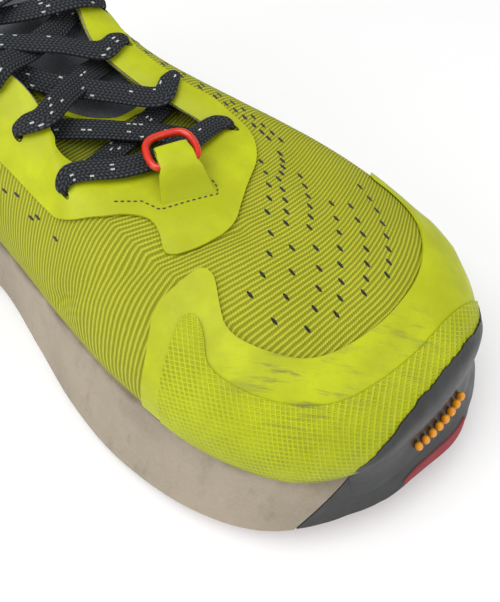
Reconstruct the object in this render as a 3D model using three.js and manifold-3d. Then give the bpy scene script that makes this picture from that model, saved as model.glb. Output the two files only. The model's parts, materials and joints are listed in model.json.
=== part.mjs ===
// A trail running shoe for the right foot, with a wide toe box, built as separate pieces.
// Millimetres, +X towards the toe, +Y towards the inner (big toe) side, +Z up.
// The exported group has its origin on the ground, under the middle of the shoe.
import * as THREE from "three";
import { mergeVertices } from "three/addons/utils/BufferGeometryUtils.js";
import Module from "manifold-3d";

// Overall sizes. The key tables below are drawn at the TABLE sizes and stretched to these.
const SHOE_LENGTH = 294;
const SOLE_WIDTH = 119;
const UPPER_RISE = 66; // from the top of the midsole to the heel's top edge
const TABLE_LENGTH = 294;
const TABLE_WIDTH = 119;
const TABLE_RISE = 66;

const GAP = 0.3; // between pieces that touch
const SKIN_GAP = 0.45; // between thin pieces laid over each other on a curve
const LUG_HEIGHT = 3.6;
const LUG_LENGTH = 7;
const LUG_WIDTH = 9;
const LUG_PITCH = 14.5;
const PAD_THICKNESS = 2;
const SOLE_RIM = 6.5; // the midsole's rim around the rubber pads
const TOE_SPRING = 15;
const HEEL_BEVEL = 5;
const BUMPER_THICKNESS = 2.2;
const SHELL_THICKNESS = 1.8;
const FILM_THICKNESS = 0.6;
const EYESTAY_THICKNESS = 0.8;
const COUNTER_THICKNESS = 1.2;
const BOARD_THICKNESS = 1.2;
const INSOLE_THICKNESS = 4;
const COLLAR_PADDING = 8;
const TONGUE_THICKNESS = 4;
const TONGUE_DROP = SHELL_THICKNESS + 4.5; // from the shell's outer face down to the tongue
const LACE_WIDTH = 7;
const LACE_THICKNESS = 1.6;
const EYELET_RADIUS = 2.7;
const EYELET_INSET = 8.5;
const INNER_EYELETS = { first: 0.39, steps: [0, 17, 40, 59, 76] };
const OUTER_EYELETS = { first: 0.655, steps: [0, 18, 38, 57, 74] };
const RING_WIRE = 2.2;
const RING_WIDTH = 16;
const RING_HEIGHT = 13;
const RING_TILT = 10; // degrees above the horizontal, lying back over the laces
const RING_PLACE = 0.6; // along the first lace bar, from its outer end
const RING_AHEAD = 8.4; // from the first lace bar forward to the ring's bar
const TAB_THICKNESS = 0.9;
const TAB_LENGTH = 5; // from the ring's bar forward to the tab's foot
const TAB_LOOP = 6; // from the ring's bar back to the tab's fold
const TAB_FLARE = 0.6; // how much wider the tab is at its foot than at the bar
const TAB_TAPER = 0.14; // how much narrower it is at its fold

// One row for each key round the foot, from the heel's centre along the inner side to the toe
// and back along the outer side: where the upper meets the midsole, where its top edge or
// throat edge is, how far it swells out and up at the bottom, and out and down at the top.
const KEYS = [
  [[6, 0, 42], [10, 0, 108], [5, 22, 3, 24]],
  [[16, 22, 41], [20, 19, 101], [6, 20, 4, 22]],
  [[42, 33, 39], [44, 28, 90], [7, 18, 6, 18]],
  [[76, 34, 37], [74, 31, 86], [7, 18, 7, 18]],
  [[108, 32, 35.5], [100, 30, 98], [8, 26, 12, 22]],
  [[138, 34, 34], [122, 24, 100], [10, 32, 17, 18]],
  [[166, 40, 33.5], [141, 15, 89], [10, 35, 24, 4]],
  [[194, 46, 33], [160, 16, 81], [10, 36, 27, 0]],
  [[222, 49.5, 33], [172, 19, 77.5], [9, 36, 29, 0]],
  [[248, 49.5, 33], [181, 20, 75], [8, 31, 36, 0]],
  [[269, 43, 35], [185, 15, 74], [7, 25, 48, 1]],
  [[281, 28, 37.5], [186, 8, 74.5], [6, 21, 57, 3]],
  [[283, 10, 38], [185, 1, 75], [6, 19, 62, 6]],
  [[281, -8, 36], [183, -5, 75.5], [6, 19, 60, 6]],
  [[276, -25, 34.3], [179, -12, 76], [6, 20, 54, 6]],
  [[262, -39.5, 33], [174, -17, 77], [7, 21, 42, 6]],
  [[238, -47.5, 33], [168, -20, 78.5], [8, 21, 32, 6]],
  [[208, -48.5, 33], [161, -20, 81], [8, 21, 24, 6]],
  [[180, -45, 33.5], [152, -15, 85], [8, 22, 20, 8]],
  [[150, -39.5, 34], [138, -14, 92], [8, 24, 18, 12]],
  [[120, -35, 35.5], [122, -24, 100], [7, 24, 12, 20]],
  [[94, -34, 36.5], [100, -31, 97], [7, 22, 10, 22]],
  [[66, -35, 38], [74, -32, 83], [7, 18, 7, 18]],
  [[18, -23, 41], [22, -20, 100], [6, 20, 4, 22]],
];
// The sole's widest outline, with a key for each key above.
const SOLE_OUTLINE = [
  [0, 0], [10, 26], [40, 41], [78, 44], [110, 40], [140, 40], [168, 45.5], [196, 52.5],
  [222, 56.5], [248, 57], [270, 51.5], [286, 38], [294, 12], [291, -7], [285, -26],
  [267, -48.5], [243, -59], [212, -62], [184, -58.5], [156, -51], [124, -43], [94, -43],
  [64, -45], [12, -28],
];
const FLOOR_HEIGHT = 33; // the lowest point of the line where the upper meets the midsole

const stretchX = SHOE_LENGTH / TABLE_LENGTH;
const stretchY = SOLE_WIDTH / TABLE_WIDTH;
const stretchZ = UPPER_RISE / TABLE_RISE;
const up = new THREE.Vector3(0, 0, 1);

const wasm = await Module();
wasm.setup();

// ---- closed bodies from grids of points ----

// Merges equal points, drops flat triangles and turns the body the right way out.
function closedGeometry(positions, indices) {
  const raw = new THREE.BufferGeometry();
  raw.setAttribute("position", new THREE.Float32BufferAttribute(positions, 3));
  raw.setIndex(indices);
  const merged = mergeVertices(raw, 1e-3);
  const from = merged.index.array;
  const at = merged.attributes.position;
  const kept = [];
  let volume = 0;
  const corner = [new THREE.Vector3(), new THREE.Vector3(), new THREE.Vector3()];
  for (let i = 0; i < from.length; i += 3) {
    const [a, b, c] = from.slice(i, i + 3);
    if (a === b || b === c || c === a) continue;
    kept.push(a, b, c);
    [a, b, c].forEach((v, k) => corner[k].fromBufferAttribute(at, v));
    volume += corner[0].dot(corner[1].clone().cross(corner[2]));
  }
  if (volume < 0) kept.reverse();
  merged.setIndex(kept);
  return merged;
}

// The body between two grids of points; wrapped grids close on themselves row by row.
function slab(outer, inner, wrapped = false) {
  const rows = outer.length;
  const columns = outer[0].length;
  const positions = [];
  for (const grid of [outer, inner]) {
    for (const row of grid) for (const p of row) positions.push(p.x, p.y, p.z);
  }
  const id = (side, i, j) => side * rows * columns + (i % rows) * columns + j;
  const indices = [];
  const quad = (a, b, c, d) => indices.push(a, b, c, a, c, d);
  const lastRow = wrapped ? rows : rows - 1;
  for (let i = 0; i < lastRow; i++) {
    for (let j = 0; j < columns - 1; j++) {
      quad(id(0, i, j), id(0, i + 1, j), id(0, i + 1, j + 1), id(0, i, j + 1));
      quad(id(1, i, j), id(1, i, j + 1), id(1, i + 1, j + 1), id(1, i + 1, j));
    }
    const end = columns - 1;
    quad(id(0, i, 0), id(1, i, 0), id(1, i + 1, 0), id(0, i + 1, 0));
    quad(id(0, i, end), id(0, i + 1, end), id(1, i + 1, end), id(1, i, end));
  }
  if (!wrapped) {
    for (let j = 0; j < columns - 1; j++) {
      const end = rows - 1;
      quad(id(0, 0, j), id(0, 0, j + 1), id(1, 0, j + 1), id(1, 0, j));
      quad(id(0, end, j), id(1, end, j), id(1, end, j + 1), id(0, end, j + 1));
    }
  }
  return closedGeometry(positions, indices);
}

// The body through a stack of closed rings. Ring points pair up across the shoe, point i
// with point n - i, and the first and last rings are closed by strips between the pairs.
function stack(rings) {
  const count = rings[0].length;
  const positions = rings.flatMap((ring) => ring.flatMap((p) => [p.x, p.y, p.z]));
  const indices = [];
  const quad = (a, b, c, d) => indices.push(a, b, c, a, c, d);
  for (let k = 0; k < rings.length - 1; k++) {
    for (let i = 0; i < count; i++) {
      const next = (i + 1) % count;
      const lower = (k + 1) * count;
      quad(k * count + i, k * count + next, lower + next, lower + i);
    }
  }
  const cap = (start, flipped) => {
    for (let i = 0; i < count / 2; i++) {
      const corners = [i, i + 1, (count - i - 1) % count, (count - i) % count];
      const [a, b, c, d] = corners.map((v) => start + v);
      if (flipped) quad(a, b, c, d);
      else quad(d, c, b, a);
    }
  };
  cap(0, false);
  cap((rings.length - 1) * count, true);
  return closedGeometry(positions, indices);
}

// A copy of a geometry with nothing but its points.
function bareCopy(geometry) {
  const bare = (geometry.index ? geometry.toNonIndexed() : geometry).clone();
  bare.deleteAttribute("normal");
  bare.deleteAttribute("uv");
  return bare;
}

function toSolid(geometry) {
  const merged = mergeVertices(bareCopy(geometry), 1e-3);
  return new wasm.Manifold(
    new wasm.Mesh({
      numProp: 3,
      vertProperties: new Float32Array(merged.attributes.position.array),
      triVerts: new Uint32Array(merged.index.array),
    }),
  );
}

const SMOOTH_ENOUGH = 0.04;
function fromSolid(solid) {
  const { vertProperties, triVerts } = solid.simplify(SMOOTH_ENOUGH).getMesh();
  const geometry = new THREE.BufferGeometry();
  geometry.setAttribute("position", new THREE.BufferAttribute(vertProperties, 3));
  geometry.setIndex(new THREE.BufferAttribute(triVerts, 1));
  return geometry;
}

// ---- the shoe's surfaces ----

function closedCurve(points) {
  const curve = new THREE.CatmullRomCurve3(points, true, "catmullrom", 0.5);
  return (a) => curve.getPoint(((a % 1) + 1) % 1);
}

const rise = (z) => FLOOR_HEIGHT + (z - FLOOR_HEIGHT) * stretchZ;
const featherKeys = KEYS.map(([f]) => new THREE.Vector3(f[0] * stretchX, f[1] * stretchY, f[2]));
const edgeKeys = KEYS.map(
  ([, e]) => new THREE.Vector3(e[0] * stretchX, e[1] * stretchY, rise(e[2])),
);
const soleKeys = SOLE_OUTLINE.map(([x, y]) => new THREE.Vector3(x * stretchX, y * stretchY, 0));

function outwardAt(keys, i) {
  const before = keys[(i + keys.length - 1) % keys.length];
  const after = keys[(i + 1) % keys.length];
  return new THREE.Vector3(before.y - after.y, after.x - before.x, 0).normalize();
}

const lowerHandles = featherKeys.map((f, i) => {
  const [out, lift] = KEYS[i][2];
  return f.clone().addScaledVector(outwardAt(featherKeys, i), out).addScaledVector(up, lift);
});
const upperHandles = edgeKeys.map((e, i) => {
  const [, , out, drop] = KEYS[i][2];
  const away = new THREE.Vector3().subVectors(featherKeys[i], e).setZ(0).normalize();
  return e.clone().addScaledVector(away, out).addScaledVector(up, -drop);
});

const featherLine = closedCurve(featherKeys);
const edgeLine = closedCurve(edgeKeys);
const lowerLine = closedCurve(lowerHandles);
const upperLine = closedCurve(upperHandles);
const soleLine = closedCurve(soleKeys);

// The upper's outer face: a runs round the foot, t from the midsole (0) to the top edge (1).
function upperPoint(a, t) {
  const s = 1 - t;
  return featherLine(a)
    .multiplyScalar(s * s * s)
    .addScaledVector(lowerLine(a), 3 * s * s * t)
    .addScaledVector(upperLine(a), 3 * s * t * t)
    .addScaledVector(edgeLine(a), t * t * t);
}

function upperNormal(a, t) {
  const step = 1e-3;
  const along = upperPoint(a + step, t).sub(upperPoint(a - step, t));
  const low = Math.max(t - step, 0);
  const high = Math.min(t + step, 1);
  const climb = upperPoint(a, high).sub(upperPoint(a, low));
  return climb.cross(along).normalize();
}

function upperAt(a, t, lift) {
  return upperPoint(a, t).addScaledVector(upperNormal(a, t), lift);
}

function outwardOf(line, a) {
  const step = 1e-3;
  const along = line(a + step).sub(line(a - step));
  return new THREE.Vector3(-along.y, along.x, 0).normalize();
}

function offsetLine(line, a, distance) {
  return line(a).addScaledVector(outwardOf(line, a), distance);
}

// The height of the lugs' faces: flat, with the toe curving up and the heel bevelled.
function groundHeight(x) {
  const toeStart = 0.68 * SHOE_LENGTH;
  const heelEnd = 0.15 * SHOE_LENGTH;
  if (x > toeStart) return TOE_SPRING * ((x - toeStart) / (SHOE_LENGTH - toeStart)) ** 1.8;
  if (x < heelEnd) return HEEL_BEVEL * ((heelEnd - x) / heelEnd) ** 2;
  return 0;
}

const FEATHER_LEDGE = 1.5;
const WIDEST_HEIGHT = 5;
// The midsole's side: s = 0 at its top edge, 1 at its widest line, inset measured inwards.
function wallPoint(a, s, inset) {
  const top = offsetLine(featherLine, a, FEATHER_LEDGE - inset);
  top.z = featherLine(a).z - GAP - 0.1;
  const widest = offsetLine(soleLine, a, -inset);
  widest.z = groundHeight(soleLine(a).x) + WIDEST_HEIGHT;
  const flare = 0.72 * s + 0.28 * s * s;
  const point = top.clone().lerp(widest, flare);
  point.z = THREE.MathUtils.lerp(top.z, widest.z, s);
  return point;
}

// ---- helpers that lay thin pieces on the upper ----

// A value read from a table of [a, value] rows by straight steps.
function tableValue(rows, a) {
  if (a <= rows[0][0]) return rows[0][1];
  for (let i = 1; i < rows.length; i++) {
    const [a1, v1] = rows[i];
    const [a0, v0] = rows[i - 1];
    if (a <= a1) return v0 + ((v1 - v0) * (a - a0)) / (a1 - a0);
  }
  return rows[rows.length - 1][1];
}

const range = (count) => Array.from({ length: count + 1 }, (_, i) => i / count);

// The shell's columns between two places round the foot, with those places as the ends.
const SHELL_COLUMNS = 64;
function shellColumns(from, to, split = 1) {
  const pitch = 1 / (SHELL_COLUMNS * split);
  const columns = [from];
  for (let k = Math.floor(from / pitch) + 1; k * pitch < to - pitch / 4; k++) {
    if (k * pitch > from + pitch / 4) columns.push(k * pitch);
  }
  return [...columns, to];
}

// The whole upper as a closed layer between two lifts off its outer face.
const SHELL_ROWS = 10;
function wholeLayer(low, high) {
  const grid = (lift) =>
    range(SHELL_COLUMNS - 1).map((_, k) =>
      range(SHELL_ROWS).map((t) => upperAt(k / SHELL_COLUMNS, t, lift)),
    );
  return toSolid(slab(grid(high), grid(low), true));
}

// A body on the upper between two heights of t, from one place round the foot to another.
function band({ from, to, low, high, lift, thickness, rows, split = 1 }) {
  const grid = (level) =>
    shellColumns(from, to, split).map((a) => {
      const t0 = low(a);
      const t1 = high(a);
      return range(rows).map((v) => upperAt(a, t0 + (t1 - t0) * v, level));
    });
  return slab(grid(lift + thickness), grid(lift));
}

// A thin skin laid over the upper, cut out of a whole layer.
const CUT_REACH = 5;
function skin(cutter, lift, thickness) {
  const layer = wholeLayer(lift, lift + thickness);
  return layer.intersect(toSolid(cutter));
}

// A strip that leans as it climbs the upper's side.
function leaningStrip({ centre, lean, halfWidth, low, high }) {
  const grid = (level) =>
    [-1, 1].map((side) =>
      range(6).map((v) => {
        const a = centre + lean * v + halfWidth * side * (1 - 0.35 * v);
        return upperAt(a, low + (high - low) * v, level);
      }),
    );
  const cutter = slab(grid(CUT_REACH), grid(-CUT_REACH));
  return fromSolid(skin(cutter, SKIN_GAP, FILM_THICKNESS));
}

// ---- sole ----

const HEEL_SHARE = 0.13;
const FOREFOOT_SHARE = 0.255;
const padBase = LUG_HEIGHT + PAD_THICKNESS;

function padPlate(from, to) {
  const grid = (height) =>
    range(14).map((u) => {
      const a = from + (to - from) * u;
      const inner = offsetLine(soleLine, a, -SOLE_RIM);
      const outer = offsetLine(soleLine, 1 - a, -SOLE_RIM);
      return range(4).map((v) => {
        const p = inner.clone().lerp(outer, v);
        return p.setZ(groundHeight(p.x) + height);
      });
    });
  return slab(grid(LUG_HEIGHT), grid(padBase));
}

// A V-shaped lug pointing to the toe, standing on its ground face.
function lugGeometry(x, y, turned) {
  const half = LUG_WIDTH / 2;
  const reach = LUG_LENGTH * 0.45;
  const point = turned ? -1 : 1;
  const outline = [
    [reach, 0], [-reach * 0.2, half], [-reach, half], [-reach * 0.3, 0], [-reach, -half],
    [-reach * 0.2, -half],
  ].map(([dx, dy]) => new THREE.Vector2(x + point * dx, y + dy));
  const shape = new THREE.Shape(outline);
  const sunk = 0.8;
  const geometry = new THREE.ExtrudeGeometry(shape, {
    depth: LUG_HEIGHT + sunk,
    bevelEnabled: false,
  });
  return geometry.translate(0, 0, groundHeight(x));
}

// The pad's two side lines at a place along the shoe: [outer y, inner y].
function padSides(x) {
  const samples = range(120).map((u) => u / 2);
  const nearest = (side) =>
    samples
      .map((a) => offsetLine(soleLine, side(a), -SOLE_RIM))
      .reduce((best, p) => (Math.abs(p.x - x) < Math.abs(best.x - x) ? p : best));
  return [nearest((a) => 1 - a).y, nearest((a) => a).y];
}

function ruggedPad(from, to, startX, endX, turned) {
  let solid = toSolid(padPlate(from, to));
  const rowCount = Math.floor((endX - startX) / LUG_PITCH);
  for (let row = 0; row <= rowCount; row++) {
    const x = startX + ((endX - startX) * row) / rowCount;
    const [low, high] = padSides(x);
    const room = high - low - LUG_WIDTH - 2;
    const across = Math.max(1, Math.round(room / (LUG_WIDTH * 1.7)));
    for (let k = 0; k <= across; k++) {
      const y = low + 1 + LUG_WIDTH / 2 + (room * k) / across;
      solid = solid.add(toSolid(lugGeometry(x, y, turned)));
    }
  }
  return fromSolid(solid);
}

const heelPad = () =>
  ruggedPad(0, HEEL_SHARE, 0.075 * SHOE_LENGTH, 0.24 * SHOE_LENGTH, true);
const forefootPad = () =>
  ruggedPad(FOREFOOT_SHARE, 0.5, 0.66 * SHOE_LENGTH, 0.935 * SHOE_LENGTH, false);

// The toe bumper's half width round the toe, which widens down the wall.
const BUMPER_TOP_SPREAD = 0.09;
const BUMPER_FOOT_SPREAD = 0.118;
const bumperSpread = (s) => THREE.MathUtils.lerp(BUMPER_TOP_SPREAD, BUMPER_FOOT_SPREAD, s);
const RECESS = BUMPER_THICKNESS + 2 * GAP;

// The places round the foot of a ring's points: the back part, then the recessed toe part.
function ringPlaces(s) {
  const spread = bumperSpread(s);
  const back = range(26).map((u) => ({ a: (0.5 - spread) * u, inset: 0 }));
  const toe = range(8).map((u) => ({ a: 0.5 - spread + spread * u, inset: RECESS }));
  const half = [...back, ...toe];
  const mirrored = half.slice(1, -1).reverse();
  return [...half, ...mirrored.map(({ a, inset }) => ({ a: 1 - a, inset }))];
}

function midsole() {
  const wall = range(7).map((s) => ringPlaces(s).map(({ a, inset }) => wallPoint(a, s, inset)));
  const level = (distance, height) =>
    ringPlaces(1).map(({ a, inset }) => {
      const p = offsetLine(soleLine, a, -Math.max(distance, inset + 1));
      return p.setZ(groundHeight(p.x) + height);
    });
  const rim = SOLE_RIM - 2 * GAP;
  return stack([
    ...wall,
    level(1.8, LUG_HEIGHT),
    level(rim, LUG_HEIGHT),
    level(rim, padBase + 2 * GAP),
  ]);
}

function toeBumper() {
  const edge = 0.0012;
  const grid = (inset) =>
    range(16).map((u) =>
      range(7).map((s) => {
        const spread = bumperSpread(s) - edge;
        return wallPoint(0.5 + spread * (2 * u - 1), s, inset);
      }),
    );
  return slab(grid(0), grid(BUMPER_THICKNESS));
}

// A plain raised badge: a backing strip with short upright bars in a row.
function toeBadge() {
  const first = 0.49;
  const last = 0.543;
  const strip = slab(
    ...[GAP + 0.7, GAP].map((lift) =>
      range(8).map((u) => [0.2, 0.46].map((s) => wallPoint(first + (last - first) * u, s, -lift))),
    ),
  );
  let solid = toSolid(strip);
  const bars = 6;
  for (let k = 0; k < bars; k++) {
    const a = first + ((last - first) * (k + 0.5)) / bars;
    const bar = slab(
      ...[GAP + 1.5, GAP + 0.3].map((lift) =>
        [-0.0022, 0.0022].map((da) =>
          [0.24, 0.42].map((s) => wallPoint(a + da + (s - 0.33) * 0.008, s, -lift)),
        ),
      ),
    );
    solid = solid.add(toSolid(bar));
  }
  return fromSolid(solid);
}

function flatLayer(inset, base, thickness, shape = () => 0) {
  const ring = (height) =>
    range(63).map((u) => {
      const a = u * (63 / 64);
      const p = offsetLine(featherLine, a, -inset);
      return p.setZ(featherLine(a).z + height + shape(a));
    });
  return stack([ring(base + thickness), ring(base)]);
}

// ---- upper ----

function upperShell() {
  return fromSolid(punched(wholeLayer(-SHELL_THICKNESS, 0)));
}

function punched(solid) {
  return eyelets.reduce((left, { a, t }) => left.subtract(toSolid(punch(a, t))), solid);
}

function punch(a, t) {
  const pin = new THREE.CylinderGeometry(EYELET_RADIUS, EYELET_RADIUS, 12, 10);
  const turn = new THREE.Quaternion().setFromUnitVectors(
    new THREE.Vector3(0, 1, 0),
    upperNormal(a, t),
  );
  pin.applyQuaternion(turn);
  const at = upperPoint(a, t);
  return pin.translate(at.x, at.y, at.z);
}

// The place on the upper at a distance in from the throat's edge, square to the edge.
function inFromEdge(edge, distance) {
  const step = 1e-3;
  const tangent = edgeLine(edge + step).sub(edgeLine(edge - step)).normalize();
  const start = edgeLine(edge);
  const error = ({ a, t }) => {
    const way = upperPoint(a, t).sub(start);
    return Math.hypot(way.length() - distance, way.dot(tangent));
  };
  let best = { a: edge, t: 0.84 };
  for (let reach = 1; reach > 0.01; reach *= 0.4) {
    const middle = best;
    for (const u of range(10)) {
      for (const v of range(10)) {
        const place = {
          a: middle.a + 0.09 * reach * (2 * u - 1),
          t: Math.min(1, middle.t + 0.16 * reach * (2 * v - 1)),
        };
        if (error(place) < error(best)) best = place;
      }
    }
  }
  return best;
}

// Eyelets follow each other along the throat's edge at the given distances.
function eyeletRow({ first, steps }, direction) {
  const stride = 1e-3 * direction;
  let edge = first;
  let walked = 0;
  return steps.map((distance) => {
    while (walked < distance * stretchX) {
      walked += edgeLine(edge).distanceTo(edgeLine(edge + stride));
      edge += stride;
    }
    return { edge, ...inFromEdge(edge, EYELET_INSET) };
  });
}

const innerEyelets = eyeletRow(INNER_EYELETS, -1);
const outerEyelets = eyeletRow(OUTER_EYELETS, 1);
const eyelets = [...innerEyelets, ...outerEyelets];

// Outlines of the thin overlays: rows of [a, t].
const FILM_EDGE = [
  [0.33, 0.05], [0.35, 0.28], [0.38, 0.42], [0.42, 0.45], [0.5, 0.48], [0.57, 0.49], [0.6, 0.55],
  [0.605, 0.7], [0.62, 0.7], [0.65, 0.6], [0.68, 0.37], [0.7, 0.05],
];
const GUARD_EDGE = [
  [0.42, 0.05], [0.44, 0.2], [0.46, 0.3], [0.49, 0.36], [0.57, 0.36], [0.6, 0.38], [0.62, 0.43],
  [0.625, 0.6], [0.64, 0.57], [0.66, 0.45], [0.68, 0.18], [0.685, 0.05],
];
const EYESTAY_EDGE = [
  [0.17, 0.86], [0.2, 0.8], [0.29, 0.8], [0.31, 0.78], [0.34, 0.83], [0.4, 0.87], [0.46, 0.87],
  [0.52, 0.83], [0.58, 0.8], [0.615, 0.77], [0.625, 0.865], [0.65, 0.845], [0.68, 0.8],
  [0.71, 0.72], [0.73, 0.65], [0.8, 0.66], [0.83, 0.74], [0.845, 0.84],
];
// The toe rubber's top edge arches over the toe.
const RAND_START = 0.435;
const RAND_SPAN = 0.153;
const RAND_FOOT = 0.05;
const RAND_ARCH = 0.17;
const RAND_EDGE = range(10).map((u) => [
  RAND_START + RAND_SPAN * u,
  RAND_FOOT + RAND_ARCH * Math.sqrt(Math.max(0, Math.sin(Math.PI * u))),
]);
const OVERLAY_FOOT = 0.03;

function overlay(edge, lift) {
  const cutter = band({
    from: edge[0][0],
    to: edge[edge.length - 1][0],
    low: () => OVERLAY_FOOT,
    high: (a) => tableValue(edge, a),
    lift: -CUT_REACH,
    thickness: 2 * CUT_REACH,
    rows: 6,
    split: 2,
  });
  return fromSolid(skin(cutter, lift, FILM_THICKNESS));
}

const toeFilm = () => overlay(FILM_EDGE, SKIN_GAP);
const toeGuard = () => overlay(GUARD_EDGE, 2 * SKIN_GAP + FILM_THICKNESS);
const toeRand = () => overlay(RAND_EDGE, 3 * SKIN_GAP + 2 * FILM_THICKNESS);

function eyestay() {
  const plate = band({
    from: EYESTAY_EDGE[0][0],
    to: EYESTAY_EDGE[EYESTAY_EDGE.length - 1][0],
    low: (a) => tableValue(EYESTAY_EDGE, a),
    high: () => 1,
    lift: SKIN_GAP,
    thickness: EYESTAY_THICKNESS,
    rows: 4,
  });
  return fromSolid(punched(toSolid(plate)));
}

const HEEL_WRAP_EDGE = [
  [0.905, 0.06], [0.918, 0.3], [0.935, 0.42], [0.965, 0.58], [1, 0.68], [1.035, 0.58],
  [1.065, 0.42], [1.082, 0.3], [1.095, 0.06],
];
const heelWrap = () => overlay(HEEL_WRAP_EDGE, SKIN_GAP);

const heelCounter = () =>
  band({
    from: 0.9,
    to: 1.1,
    low: () => 0.12,
    high: (a) => 0.2 + 0.2 * Math.sqrt(1 - ((a - 1) / 0.1001) ** 2),
    lift: -SHELL_THICKNESS - SKIN_GAP - COUNTER_THICKNESS,
    thickness: COUNTER_THICKNESS,
    rows: 4,
  });

const toePuff = () =>
  band({
    from: 0.435,
    to: 0.6,
    low: () => 0.14,
    high: () => 0.34,
    lift: -SHELL_THICKNESS - SKIN_GAP - FILM_THICKNESS,
    thickness: FILM_THICKNESS,
    rows: 3,
  });

function collarPad() {
  const from = 0.9;
  const to = 1.13;
  const start = -SHELL_THICKNESS - SKIN_GAP;
  const padding = (u, v) => {
    const ends = Math.min(1, Math.min(u, 1 - u) * 9);
    const profile = 0.2 + 0.8 * Math.sin(Math.PI * Math.min(1, v * 0.92 + 0.04)) ** 0.8;
    return COLLAR_PADDING * profile * (0.35 + 0.65 * ends);
  };
  const grid = (depth) =>
    shellColumns(from, to).map((a) => {
      const u = (a - from) / (to - from);
      return range(7).map((v) => upperAt(a, 0.46 + 0.52 * v, start - depth(u, v)));
    });
  return slab(
    grid(() => 0),
    grid(padding),
  );
}

// ---- tongue ----

// Places on the upper that the tongue passes under, outer side first, then the inner side.
const TONGUE_ROWS = [
  { sag: 1.8, places: [[0.64, 0.8], [0.6, 0.83], [0.44, 0.88], [0.4, 0.85]] },
  { sag: 1.8, places: [[0.68, 0.84], [0.65, 0.95], [0.42, 0.95], [0.375, 0.86]] },
  { sag: 1.8, places: [[0.72, 0.8], [0.705, 1], [0.375, 1], [0.335, 0.84]] },
  { sag: 2, places: [[0.757, 0.78], [0.75, 1], [0.31, 1], [0.3, 0.84]] },
  { sag: 2.5, places: [[0.785, 0.78], [0.78, 0.98], [0.268, 0.98], [0.265, 0.82]] },
  { sag: 3, places: [[0.81, 0.78], [0.805, 0.95], [0.235, 0.95], [0.235, 0.8]] },
  { sag: 3, places: [[0.838, 0.78], [0.832, 0.92], [0.2, 0.92], [0.195, 0.78]] },
  { sag: 3, places: [[0.868, 0.78], [0.862, 0.91], [0.175, 0.91], [0.17, 0.78]] },
];
const TONGUE_TOP_ROWS = [
  { back: 14, rise: 10, narrowing: 0.9 },
  { back: 27, rise: 27, narrowing: 0.78 },
];

function tongueRow({ sag, places }) {
  const points = places.map(([a, t]) => upperAt(a, t, -TONGUE_DROP));
  const middle = points[1].clone().lerp(points[2], 0.5);
  points.splice(2, 0, middle.addScaledVector(up, -sag));
  return points;
}

function tongueRows() {
  const rows = TONGUE_ROWS.map(tongueRow);
  const last = rows[rows.length - 1];
  const centre = last[2];
  for (const { back, rise: climb, narrowing } of TONGUE_TOP_ROWS) {
    rows.push(
      last.map((p) => {
        const q = p.clone().sub(centre);
        q.y *= narrowing;
        q.x *= 0.5;
        q.z *= 0.6;
        return q.add(centre).add(new THREE.Vector3(-back, 0, climb * stretchZ));
      }),
    );
  }
  return rows;
}

function tongueSurface() {
  const rows = tongueRows();
  const across = rows.map((points) => new THREE.CatmullRomCurve3(points));
  return (u, v) => {
    const line = new THREE.CatmullRomCurve3(across.map((curve) => curve.getPoint(v)));
    return line.getPoint(u);
  };
}

const tonguePoint = tongueSurface();

function tongueAt(u, v, depth) {
  const step = 0.01;
  const along = tonguePoint(Math.min(u + step, 1), v).sub(tonguePoint(Math.max(u - step, 0), v));
  const side = tonguePoint(u, Math.min(v + step, 1)).sub(tonguePoint(u, Math.max(v - step, 0)));
  const normal = side.cross(along).normalize();
  if (normal.z < 0) normal.negate();
  return tonguePoint(u, v).addScaledVector(normal, -depth);
}

function tongue() {
  const thickness = (u, v) => {
    const edge = 0.3 + 0.7 * Math.min(1, 5 * Math.min(v, 1 - v));
    return TONGUE_THICKNESS * edge;
  };
  const grid = (depth) => range(16).map((u) => range(8).map((v) => tongueAt(u, v, depth(u, v))));
  return slab(
    grid(() => 0),
    grid(thickness),
  );
}

// ---- laces ----

const LACE_ABOVE = SKIN_GAP + EYESTAY_THICKNESS + 2.8 * GAP + LACE_THICKNESS / 2;
const LACE_BELOW = -SHELL_THICKNESS - 4.6 * GAP - LACE_THICKNESS / 2;
const CROSSING = LACE_THICKNESS / 2 + 0.3;
// The ring's bar lies along RING_AXIS; RING_FORWARD is square to it, towards the toe.
const RING_AXIS = new THREE.Vector3(0.45, 0.893, 0).normalize();
const RING_FORWARD = new THREE.Vector3(RING_AXIS.y, -RING_AXIS.x, 0);
const BAR_RISE = 0.2; // how much the first bar bows up
const BAR_BOW = 5.5; // how far the tab pulls the first bar forward

// A stop on the lace's way: its place, the direction across the braid, and its squeeze.
const stop = (at, across, squeeze = 0) => ({ at, across, squeeze });

// The direction of the throat's edge at a place, pointing to the heel.
function heelward(a) {
  const step = 1e-3;
  const along = edgeLine(a + step).sub(edgeLine(a - step));
  return along.x > 0 ? along.negate().normalize() : along.normalize();
}

// A stop between an eyelet (share 0) and the throat's edge (share 1).
function eyeletStop({ edge }, share, lift, squeeze) {
  const { a, t } = inFromEdge(edge, EYELET_INSET * (1 - share));
  return stop(upperAt(a, t, lift), heelward(edge), squeeze);
}

const edgeStop = (eyelet, lift) => eyeletStop(eyelet, 0.96, lift, 0);
const besideStop = (eyelet, lift) => eyeletStop(eyelet, 0.42, lift, 0.25);

// The way up through an eyelet's hole.
function throughStops(eyelet) {
  const lifts = [LACE_BELOW * 0.9, -SHELL_THICKNESS / 2, LACE_ABOVE * 0.75];
  return lifts.map((lift) => eyeletStop(eyelet, 0, lift, 1));
}

function crossStops(start, end, lift) {
  return [0.3, 0.5, 0.7].map((u) => {
    const at = start.at.clone().lerp(end.at, u).addScaledVector(up, lift);
    return stop(at, start.across.clone().lerp(end.across, u));
  });
}

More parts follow.
